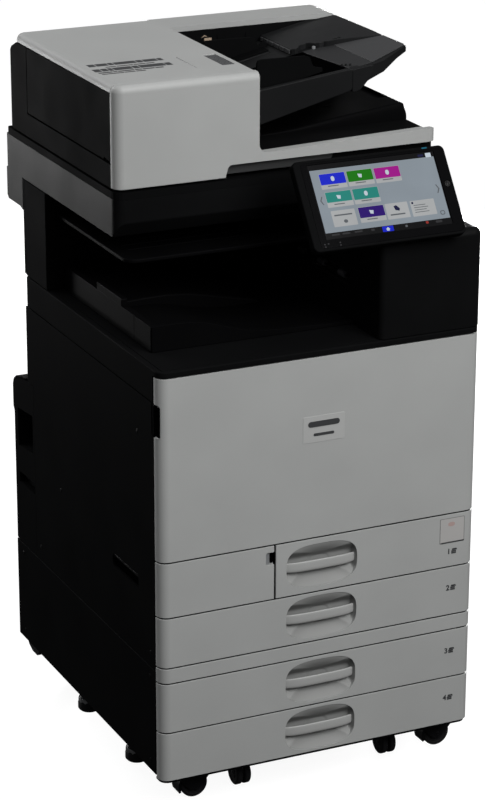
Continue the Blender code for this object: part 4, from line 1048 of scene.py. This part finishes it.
# light grey strip along the rear plate's left edge: painted highlight on the step
piece("document_plate_edge_highlight", slope_poly([(434.2, 426.0), (436.8, 426.0), (436.8, 543.0), (434.2, 543.0)], 1.0, 8.2), TRAYLIGHT, "document_tray", bevel=0.5,
      cut=[box(430.0, 435.4, y, y + 7.0, 1180.0, 1200.0) for y in (440.0, 462.0, 484.0, 506.0, 528.0)])
piece("document_front_plate", slope_poly([(466.0, 262.0), (457.5, 378.0), (455.0, 416.0), (476.0, 412.0), (497.0, 400.5), (505.4, 396.5), (505.4, 253.0), (472.0, 253.0)], -1.0, 1.4), TRAYMID, "document_tray", bevel=0.5)
piece("document_extension", slope_poly([(506.0, 253.5), (579.0, 281.5), (583.6, 286.0), (583.6, 362.0), (579.0, 364.5), (540.0, 382.6), (506.0, 396.5)], -1.0, 1.8), TRAYLIGHT, "document_tray", bevel=0.8, seg=3)
# trough in the near-black fill: painted shade in the channel
piece("document_trough", slope_poly([(264.0, 251.0), (466.0, 251.0), (457.0, 378.0), (454.0, 415.0), (430.0, 420.0), (264.0, 420.0)], -0.6, 0.3), SHADOW_BLACK, "document_tray")
piece("document_fence_bracket", prism([(464.2, 1158.0), (470.0, 1157.0), (480.0, 1160.5), (486.0, 1166.0), (498.0, 1180.0), (505.0, 1184.0), (505.0, 1200.4), (498.0, 1201.0), (470.0, 1197.6), (464.2, 1195.6)], "y", 243.5, 262.0), FENCE, "document_tray", bevel=1.6, seg=3)
# small knob made light grey: a real knob with a painted glint
piece("document_size_lever_glint", lathe([(3.2, slope(474.0) + 0.6), (3.2, slope(474.0) + 4.4), (2.6, slope(474.0) + 5.6), (1.1, slope(474.0) + 6.1)], "z", (474.5, 411.5), 24), MIDGREY, "document_tray")
for i in range(3):
    piece("document_edge_clip_%d" % (i + 1), slope_poly([(462.0 + i * 5.0, 281.0 - i * 6.0), (465.0 + i * 5.0, 281.0 - i * 6.0), (465.0 + i * 5.0, 285.0 - i * 6.0), (462.0 + i * 5.0, 285.0 - i * 6.0)], 0.0, 4.6), TRAYGREY, "document_tray", bevel=0.5)


def doc_guide(tag, y0, y1, inner, body, node, high):
    wall = prism(
        [(308.0, slope(308.0) + 0.8), (418.0, slope(418.0) + 0.8), (430.0, slope(430.0) + 0.8), (430.0, slope(430.0) + 7.0), (420.0, slope(420.0) + 11.0), (412.0, high - 18.0),
         (406.0, high - 3.0), (398.0, high), (316.0, high + 1.0), (310.0, high - 1.0), (308.0, high - 6.0)],
        "y", y0, y1,
    )
    lo, hi = min(y0, inner), max(y1, inner)
    foot = slope_poly([(310.0, lo), (420.0, lo), (420.0, hi), (310.0, hi)], 0.7, 2.6)
    piece("document_guide_%s_wall" % tag, wall, BLACK, body, add=[foot], bevel=0.8, seg=3, stands_for=node)


doc_guide("front", 288.0, 293.0, 318.0, "guide_front", "document_guide_front", 1217.0)
doc_guide("rear", 503.0, 508.0, 478.0, "guide_rear", "document_guide_rear", 1206.0)

# ------------------------------------------------------------- touch panel
TILT = math.radians(54.7)
NY, NZ = -math.sin(TILT), math.cos(TILT)
DY, DZ = -math.cos(TILT), -math.sin(TILT)
PX0 = 261.0


def on_panel(down, out):
    return (60.0 + down * DY + out * NY, 1103.0 + down * DZ + out * NZ)


def slab(outline, steps):
    """outline(inset) in panel coordinates (across, down); steps are (out, inset)."""
    rings = []
    for out, inset in steps:
        ring = []
        for u, v in outline(inset):
            y, z = on_panel(v, out)
            ring.append((PX0 + u, y, z))
        rings.append(ring)
    return stack(rings)


def flat(u0, u1, v0, v1, out0, out1, r=0.0, steps=4):
    return slab(lambda i: rr(u0, u1, v0, v1, r, steps), [(out0, 0.0), (out1, 0.0)])


panel_shell = slab(
    lambda i: rr(i, 277.0 - i, i, 156.0 - i, 10.0 - min(i, 6.0), 8),
    [(-18.0, 4.0), (-17.4, 2.2), (-15.5, 0.6), (-13.0, 0.0), (-2.6, 0.0), (-1.0, 0.5), (-0.2, 1.4), (0.0, 2.4)],
)
piece(
    "panel_housing", panel_shell, BLACK, "panel",
    cut=[
        slab(lambda i: rr(13.0, 273.0, 5.0, 151.0, 6.0, 6), [(-1.6, 0.0), (4.0, 0.0)]),
        slab(lambda i: rr(24.0, 262.0, 8.0, 138.0, 2.0, 3), [(-3.4, 0.0), (4.0, 0.0)]),
        slab(lambda i: oval(266.0, 68.0, 6.0, 6.0, 2.0, 32), [(-4.8, 0.0), (4.0, 0.0)]),
    ],
    bevel=0.35, stands_for="operation_panel",
)
piece(
    "panel_glass", slab(lambda i: rr(13.3 + i, 272.7 - i, 5.3 + i, 150.7 - i, 5.7, 6), [(-1.55, 0.0), (0.0, 0.0), (0.25, 0.4)]), BEZEL, "panel",
    cut=[
        slab(lambda i: rr(25.0, 256.0, 9.0, 137.0, 1.0, 3), [(-5.0, 0.0), (4.0, 0.0)]),
        slab(lambda i: oval(266.0, 68.0, 6.2, 6.2, 2.0, 32), [(-5.0, 0.0), (4.0, 0.0)]),
    ],
)
SCREEN_BG = glow_material("screen_background", srgb(131, 140, 148))
SCREEN_BAR = glow_material("screen_bar", srgb(7, 7, 9), 1.0)
TILE = {
    "blue": glow_material("tile_blue", srgb(22, 36, 190)),
    "green": glow_material("tile_green", srgb(24, 112, 12)),
    "magenta": glow_material("tile_magenta", srgb(152, 20, 130)),
    "teal": glow_material("tile_teal", srgb(36, 126, 116)),
    "purple": glow_material("tile_purple", srgb(42, 14, 106)),
    "white": glow_material("tile_white", srgb(163, 165, 166)),
    "pale": glow_material("tile_pale", srgb(186, 196, 206)),
    "grey": glow_material("tile_grey", srgb(88, 92, 96)),
    "dim": glow_material("tile_dim", srgb(46, 46, 48)),
    "red": glow_material("tile_red", srgb(140, 46, 40)),
    "cyan": glow_material("lamp_cyan", srgb(24, 92, 112)),
    "navy": glow_material("tile_navy", srgb(24, 26, 60)),
}
piece("screen_glass", flat(25.4, 255.6, 9.4, 136.6, -3.2, -0.9, 1.0), SCREEN_BAR, "panel", stands_for="touch_screen")
piece("screen_page", flat(27.0, 254.0, 18.5, 126.0, -1.0, -0.78, 0.6), SCREEN_BG, "panel")


def tile(name, u0, u1, v0, v1, colour, out=-0.62, r=1.0):
    piece("ui_" + name, flat(u0, u1, v0, v1, -0.9, out, r, 3), TILE[colour], "panel")


def card(n, u0, v0, colour, height=18.0):
    tile("card_%d" % n, u0, u0 + 46.6, v0, v0 + 26.5, "white", -0.66)
    tile("card_%d_face" % n, u0 + 0.5, u0 + 46.1, v0 + 0.5, v0 + height + 1.0, colour, -0.58)
    cx, cy = u0 + 23.3, v0 + 9.6
    glyph = oval(cx, cy, 3.2, 4.2, 2.4, 20) if n % 2 else [(cx - 4.0, cy - 3.2), (cx + 3.6, cy - 2.0), (cx + 2.4, cy + 4.0), (cx - 2.8, cy + 3.0)]
    piece("ui_card_%d_glyph" % n, slab(lambda i: glyph, [(-0.6, 0.0), (-0.5, 0.0)]), TILE["pale"], "panel")
    tile("card_%d_line" % n, u0 + 12.0, u0 + 31.0, v0 + 21.0, v0 + 22.6, "grey", -0.6, 0.5)


card(1, 41.0, 26.0, "blue")
card(2, 90.5, 26.0, "green")
card(3, 140.0, 26.4, "magenta")
card(4, 43.5, 57.6, "teal", 17.0)
card(5, 92.5, 57.4, "teal", 18.0)
card(6, 94.0, 89.6, "purple", 17.5)
tile("card_7", 45.5, 88.0, 90.0, 117.5, "white", -0.66)
tile("card_7_line", 50.0, 82.0, 97.0, 99.4, "grey", -0.6, 0.6)
piece("ui_card_7_dot", slab(lambda i: oval(68.0, 109.5, 3.6, 3.0, 2.0, 24), [(-0.7, 0.0), (-0.58, 0.0)]), TILE["grey"], "panel")
tile("card_8", 143.0, 184.0, 89.5, 116.5, "white", -0.66)
piece("ui_card_8_mark", slab(lambda i: [(158.0, 95.0), (163.0, 93.6), (168.6, 99.6), (167.0, 103.6), (160.0, 101.8)], [(-0.7, 0.0), (-0.58, 0.0)]), TILE["navy"], "panel")
tile("card_8_line", 149.0, 176.0, 108.0, 110.4, "grey", -0.6, 0.6)
tile("card_9", 189.0, 233.0, 90.0, 117.0, "white", -0.66)
piece("ui_card_9_dot", slab(lambda i: oval(193.0, 93.6, 2.0, 2.0, 2.0, 16), [(-0.7, 0.0), (-0.58, 0.0)]), TILE["navy"], "panel")
for i in range(4):
    tile("card_9_line_%d" % (i + 1), 194.0, 216.0 + (i % 2) * 4.0, 97.5 + i * 4.0, 98.6 + i * 4.0, "grey", -0.6, 0.4)
piece("ui_ring", slab(lambda i: oval(243.0, 116.0, 4.4, 3.8, 3.0, 28), [(-0.8, 0.0), (-0.66, 0.0)]), TILE["grey"], "panel")
piece("ui_ring_in", slab(lambda i: oval(243.0, 116.0, 2.8, 2.4, 3.0, 28), [(-0.7, 0.0), (-0.6, 0.0)]), SCREEN_BG, "panel")
piece("ui_next", slab(lambda i: [(243.0, 67.0), (245.0, 67.0), (249.0, 74.5), (245.0, 82.0), (243.0, 82.0), (246.6, 74.5)], [(-0.8, 0.0), (-0.62, 0.0)]), TILE["grey"], "panel")
piece("ui_back", slab(lambda i: [(38.0, 64.0), (36.2, 64.0), (32.6, 71.0), (36.2, 78.0), (38.0, 78.0), (34.8, 71.0)], [(-0.8, 0.0), (-0.62, 0.0)]), TILE["grey"], "panel")
tile("status_clock", 240.0, 250.0, 11.4, 18.8, "pale", -0.7, 0.6)
tile("status_dim", 226.0, 236.0, 12.6, 16.6, "navy", -0.75, 0.6)
tile("foot_tab_1", 37.0, 51.0, 128.6, 131.4, "dim", -0.75, 0.6)
tile("foot_tab_2", 56.0, 70.0, 128.4, 131.2, "dim", -0.75, 0.6)
tile("foot_tab_3", 78.0, 92.0, 128.2, 131.0, "dim", -0.75, 0.6)
tile("foot_arrow", 108.0, 114.0, 128.0, 131.6, "dim", -0.75, 0.6)
tile("foot_home", 128.0, 148.0, 126.8, 136.0, "blue", -0.72, 0.6)
piece("ui_foot_home_glyph", slab(lambda i: [(134.0, 132.0), (138.0, 128.6), (142.0, 132.0), (140.6, 132.0), (140.6, 134.6), (135.4, 134.6), (135.4, 132.0)], [(-0.8, 0.0), (-0.62, 0.0)]), TILE["pale"], "panel")
tile("foot_dot", 170.0, 174.0, 128.8, 132.6, "grey", -0.75, 1.4)
tile("foot_red", 208.0, 213.0, 127.0, 131.4, "red", -0.75, 1.4)
tile("foot_oval", 226.0, 238.0, 128.0, 132.0, "dim", -0.75, 1.6)
piece("panel_lamp", flat(236.0, 246.0, 1.6, 3.8, -1.2, 0.35, 1.0), TILE["cyan"], "panel")
for i, (u, v) in enumerate(((20.0, 144.4), (26.5, 144.0), (47.5, 144.0), (20.5, 148.6), (47.5, 148.4)), 1):
    piece("panel_mark_%d" % i, slab(lambda q: oval(u, v, 1.5, 1.1, 2.0, 16), [(0.1, 0.0), (0.34, 0.0)]), TILE["dim"], "panel")
home_ring = [
    (-2.4, 5.4), (0.2, 5.4), (0.5, 5.0), (0.5, 3.8), (0.15, 3.4), (0.1, 2.2), (0.42, 1.6), (0.46, 0.2),
]
piece("home_button_cap", slab(lambda r: oval(266.0, 68.0, r, r, 2.0, 36), [(o, r) for o, r in home_ring]), BLACK_GLOSS, "home_button", stands_for="home_button")

# ------------------------------------------------------------ inside the door
keep("inner_front_cover", MIDGREY, 0.6)
keep("process_unit", BOXGREY, 1.0)
keep("fuser_unit", MIDGREY, 1.0)
keep("waste_toner_bottle", MIDGREY, 1.5, 3)
for n, x in enumerate((84.0, 190.0, 296.0, 402.0), 1):
    body = "toner_%d" % n
    prof = [(34.0, 29.0), (38.5, 29.6), (40.0, 31.0), (40.0, 60.0), (37.0, 66.0)]
    for i in range(14):
        y = 72.0 + i * 19.0
        prof += [(37.0, y), (35.6, y + 3.0), (35.6, y + 6.0), (37.0, y + 9.0)]
    prof += [(37.0, 340.0), (30.0, 352.0), (22.0, 362.0), (22.0, 400.0)]
    piece("toner_%d_bottle" % n, lathe(prof, "y", (x, 688.0), 48), TONER_BODY, body, stands_for="toner_bottle_%d" % n)
    grip = prism(rr(x - 27.0, x + 27.0, 683.5, 692.5, 4.0, 5), "y", 22.6, 29.0)
    piece("toner_%d_cap" % n, lathe([(30.0, 26.6), (35.0, 27.0), (36.0, 28.4), (36.0, 30.0)], "y", (x, 688.0), 48), TONERS[n - 1], body, add=[grip], bevel=0.8, seg=3)
    piece("toner_%d_collar" % n, lathe([(46.0, 29.8), (46.0, 28.2), (45.2, 27.6), (43.6, 27.6), (43.0, 28.2), (43.0, 29.9)], "y", (x, 688.0), 48), BOXGREY, "machine")
piece("process_handle", prism(rr(90.0, 190.0, 528.0, 556.0, 12.0, 8), "y", 22.0, 30.0), GUIDEBLUE, "machine", cut=[prism(rr(102.0, 178.0, 535.0, 549.0, 6.5, 6), "y", 15.0, 36.0)], bevel=1.6, seg=3)
piece("fuser_handle", prism(rr(480.0, 540.0, 560.0, 580.0, 9.0, 8), "y", 22.0, 30.0), GUIDEBLUE, "machine", cut=[prism(rr(489.0, 531.0, 565.0, 575.0, 4.5, 6), "y", 15.0, 36.0)], bevel=1.4, seg=3)
piece("waste_bottle_grip", prism(rr(80.0, 140.0, 410.0, 428.0, 8.0, 6), "y", 24.4, 27.2), GUIDEBLUE, "machine", bevel=0.9, seg=3)

# ------------------------------------------------------------------ casters
R_WHEEL = 25.0
WZ = R_WHEEL * math.cos(math.pi / 24.0)
for corner, (sx, sy) in {"front_left": (72.0, 78.0), "front_right": (543.0, 78.0), "rear_left": (72.0, 590.0), "rear_right": (543.0, 590.0)}.items():
    wx = sx + 18.0
    fork_body, wheel_body = "fork_" + corner, "wheel_" + corner
    hood = []
    for k in range(15):
        t = math.radians(200.0 - 170.0 * k / 14)
        hood.append((wx + 31.5 * math.cos(t), WZ + 31.5 * math.sin(t)))
    inner = []
    for k in range(15):
        t = math.radians(30.0 + 170.0 * k / 14)
        inner.append((wx + 27.6 * math.cos(t), WZ + 27.6 * math.sin(t)))
    strap = prism(hood + inner, "y", sy - 14.5, sy + 14.5)
    cheek = [(sx - 14.0, 58.0), (wx - 27.0, 36.0), (wx - 9.0, 17.0), (wx + 6.0, 15.0), (wx + 11.0, 22.0), (wx + 27.0, 40.0), (sx + 20.0, 60.0), (sx - 10.0, 62.0)]
    piece(
        "caster_%s_hood" % corner, strap, CASTER, fork_body,
        add=[
            prism(cheek, "y", sy - 14.5, sy - 11.2), prism(cheek, "y", sy + 11.2, sy + 14.5),
            lathe([(16.5, 50.0), (17.0, 52.0), (17.0, 65.0), (15.5, 67.0), (8.0, 67.5), (8.0, 72.4)], "z", (sx, sy), 32),
        ],
        cut=[disc("y", (wx, WZ), 27.4, sy - 11.1, sy + 11.1, 48)],
        bevel=0.8, seg=3, angle=40.0, stands_for="caster_%s_fork" % corner,
    )
    tread = [
        (4.0, sy - 8.4), (9.0, sy - 8.4), (9.6, sy - 10.2), (12.0, sy - 10.4), (13.0, sy - 8.8), (18.0, sy - 8.8), (19.2, sy - 10.2),
        (22.6, sy - 10.3), (24.4, sy - 9.0), (WZ, sy - 6.5), (WZ, sy + 6.5), (24.4, sy + 9.0), (22.6, sy + 10.3),
        (19.2, sy + 10.2), (18.0, sy + 8.8), (13.0, sy + 8.8), (12.0, sy + 10.4), (9.6, sy + 10.2), (9.0, sy + 8.4), (4.0, sy + 8.4),
    ]
    piece("caster_%s_tyre" % corner, lathe(tread, "y", (wx, WZ), 64), RUBBER, wheel_body, stands_for="caster_%s_wheel" % corner)
    piece("caster_%s_axle" % corner, disc("y", (wx, WZ), 3.2, sy - 15.6, sy + 15.6, 24, 0.6), CASTER, fork_body)
TZ = 22.0 * math.cos(math.pi / 24.0)
for side, tx in (("left", 184.0), ("right", 470.0)):
    body = "twin_" + side
    cx = tx - 5.5 if side == "right" else tx - 1.5
    for tag, c in (("a", cx - 7.6), ("b", cx + 7.6)):
        prof = [(3.4, c - 5.2), (8.0, c - 5.6), (9.0, c - 4.6), (15.0, c - 4.6), (16.0, c - 5.8), (19.4, c - 5.8), (21.4, c - 4.4), (TZ, c - 3.0), (TZ, c + 3.0), (21.4, c + 4.4), (19.4, c + 5.8), (16.0, c + 5.8), (15.0, c + 4.6), (9.0, c + 4.6), (8.0, c + 5.6), (3.4, c + 5.2)]
        o = piece("twin_%s_tyre_%s" % (side, tag), lathe(prof, "x", (84.0, TZ), 56), RUBBER, body)
        if tag == "a":
            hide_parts("twin_caster_%s_wheels" % side)
    piece("twin_%s_axle" % side, disc("x", (84.0, TZ), 3.0, cx - 14.2, cx + 14.2, 24, 0.5), CASTER, body)
    piece(
        "twin_%s_bracket" % side, prism([(70.0, 72.4), (66.0, 52.0), (76.0, 46.5), (92.0, 46.5), (102.0, 52.0), (98.0, 72.4)], "x", cx - 15.5, cx + 15.5), CASTER, "machine", bevel=1.6, seg=3,
        cut=[box(cx - 12.6, cx + 12.6, 60.0, 110.0, 40.0, 58.0)],
    )
for n, (fx, fy) in enumerate(((45.0, 212.0), (45.0, 432.0), (545.0, 212.0), (545.0, 432.0)), 1):
    piece("foot_sleeve_%d" % n, lathe([(17.0, 38.0), (18.0, 40.0), (18.0, 44.0), (12.0, 48.0), (12.0, 58.0), (16.0, 62.0), (16.0, 72.4)], "z", (fx, fy), 32), CASTER, "machine", bevel=1.0)
    piece("foot_pad_%d" % n, lathe([(17.0, 15.9), (20.8, 20.0), (20.8, 30.0), (19.0, 37.0), (12.0, 38.0)], "z", (fx, fy), 32), RUBBER, "machine", bevel=0.8)
for side, bx in (("left", 8.0), ("right", 545.0)):
    piece("rear_corner_bracket_%s" % side, prism([(583.0, 76.0), (590.0, 63.0), (598.0, 59.0), (620.0, 59.0), (638.0, 66.0), (646.0, 76.0)], "x", bx, bx + 30.0), CASTER, "machine", bevel=1.5, seg=3)
piece("base_front_trim", prism(rr(3.0, W - 3.0, 4.0, 30.0, (15.0, 15.0, 0.0, 0.0), 8), "z", 71.5, 76.4), BLACK, "machine", bevel=0.8)

# --------------------------------------------------------- floor and lights
floor = bpy.data.meshes.new("floor")
s = 40.0
floor.from_pydata([(-s, -s, 0), (s, -s, 0), (s, s, 0), (-s, s, 0)], [], [(0, 1, 2, 3)])
ground = bpy.data.objects.new("studio_floor", floor)
bpy.context.scene.collection.objects.link(ground)
floor_mat = bpy.data.materials.new("studio_floor")
floor_mat.use_nodes = True
fs = floor_mat.node_tree.nodes["Principled BSDF"]
fs.inputs["Base Color"].default_value = (0.14, 0.14, 0.14, 1.0)
fs.inputs["Roughness"].default_value = 0.9
fs.inputs["Specular IOR Level"].default_value = 0.0
fs.inputs["Emission Color"].default_value = (1.0, 1.0, 1.0, 1.0)
fs.inputs["Emission Strength"].default_value = 0.93
floor.materials.append(floor_mat)
ground.location = (0.0, 0.0, -0.0005)
ground.visible_diffuse = False
ground.visible_glossy = False

scene = bpy.context.scene
world = bpy.data.worlds.new("studio")
world.use_nodes = True
wn, wl = world.node_tree.nodes, world.node_tree.links
back = wn["Background"]
where = wn.new("ShaderNodeTexCoord")
split = wn.new("ShaderNodeSeparateXYZ")
wl.new(where.outputs["Generated"], split.inputs["Vector"])
band = wn.new("ShaderNodeValToRGB")
band.color_ramp.elements[0].position = 0.0
band.color_ramp.elements[0].color = (0.03, 0.03, 0.03, 1.0)
band.color_ramp.elements[1].position = 0.35
band.color_ramp.elements[1].color = (0.26, 0.26, 0.265, 1.0)
wl.new(split.outputs["Z"], band.inputs["Fac"])
seen = wn.new("ShaderNodeLightPath")
pick = wn.new("ShaderNodeMix")
pick.data_type = "RGBA"
wl.new(seen.outputs["Is Camera Ray"], pick.inputs["Factor"])
wl.new(band.outputs["Color"], pick.inputs["A"])
pick.inputs["B"].default_value = (0.95, 0.95, 0.95, 1.0)
wl.new(pick.outputs["Result"], back.inputs["Color"])
back.inputs["Strength"].default_value = 1.0
scene.world = world
scene.view_settings.view_transform = "Standard"
scene.view_settings.look = "None"


def sun(name, azimuth, elevation, strength, spread):
    """azimuth 0 shines from the front, positive from the right."""
    data = bpy.data.lights.new(name, "SUN")
    data.energy = strength
    data.angle = math.radians(spread)
    obj = bpy.data.objects.new(name, data)
    a, e = math.radians(azimuth), math.radians(elevation)
    source = Vector((math.sin(a) * math.cos(e), -math.cos(a) * math.cos(e), math.sin(e)))
    obj.rotation_euler = source.to_track_quat("Z", "Y").to_euler()
    obj.location = source * 6.0
    scene.collection.objects.link(obj)


def panel_light(name, at, target, power, size):
    """A soft box hung at one place and turned toward another."""
    data = bpy.data.lights.new(name, "AREA")
    data.shape = "SQUARE"
    data.size = size
    data.energy = power
    obj = bpy.data.objects.new(name, data)
    obj.location = at
    obj.rotation_euler = (Vector(at) - Vector(target)).to_track_quat("Z", "Y").to_euler()
    obj.visible_camera = False
    scene.collection.objects.link(obj)


sun("top_light", 15.0, 66.0, 0.95, 60.0)
panel_light("front_box", (0.55, -2.75, 2.7), (0.0, 0.0, 0.95), 102.0, 1.8)
panel_light("back_box", (-1.6, 2.2, 2.6), (0.0, 0.0, 0.7), 40.0, 1.8)

panel_light("rear_box", (1.9, 2.9, 0.58), (0.0, 0.0, 0.62), 300.0, 1.0)
panel_light("rear_left_box", (-2.0, 3.4, 0.58), (-0.2, 0.3, 0.62), 45.0, 1.0)

# ------------------------------------------------------------------- camera
cam_data = bpy.data.cameras.new("camera")
cam = bpy.data.objects.new("camera", cam_data)
scene.collection.objects.link(cam)
cam_data.sensor_width = 36.0
cam_data.sensor_fit = "AUTO"
cam_data.lens = 2828.33 * 36.0 / 800.0
cam_data.shift_x = -0.68 / 800.0
az, pitch, roll = math.radians(25.132), math.radians(19.5985), math.radians(0.1456)
forward = Vector((math.sin(az) * math.cos(pitch), math.cos(az) * math.cos(pitch), -math.sin(pitch)))
right = Vector((math.cos(az), -math.sin(az), 0.0))
up = right.cross(forward)
right2 = right * math.cos(roll) + up * math.sin(roll)
up2 = up * math.cos(roll) - right * math.sin(roll)
rot = Matrix((right2, up2, -forward)).transposed()
cam.matrix_world = Matrix.Translation((-1.9698, -4.2075, 2.2649)) @ rot.to_4x4()
cam_data.clip_end = 200.0
scene.camera = cam
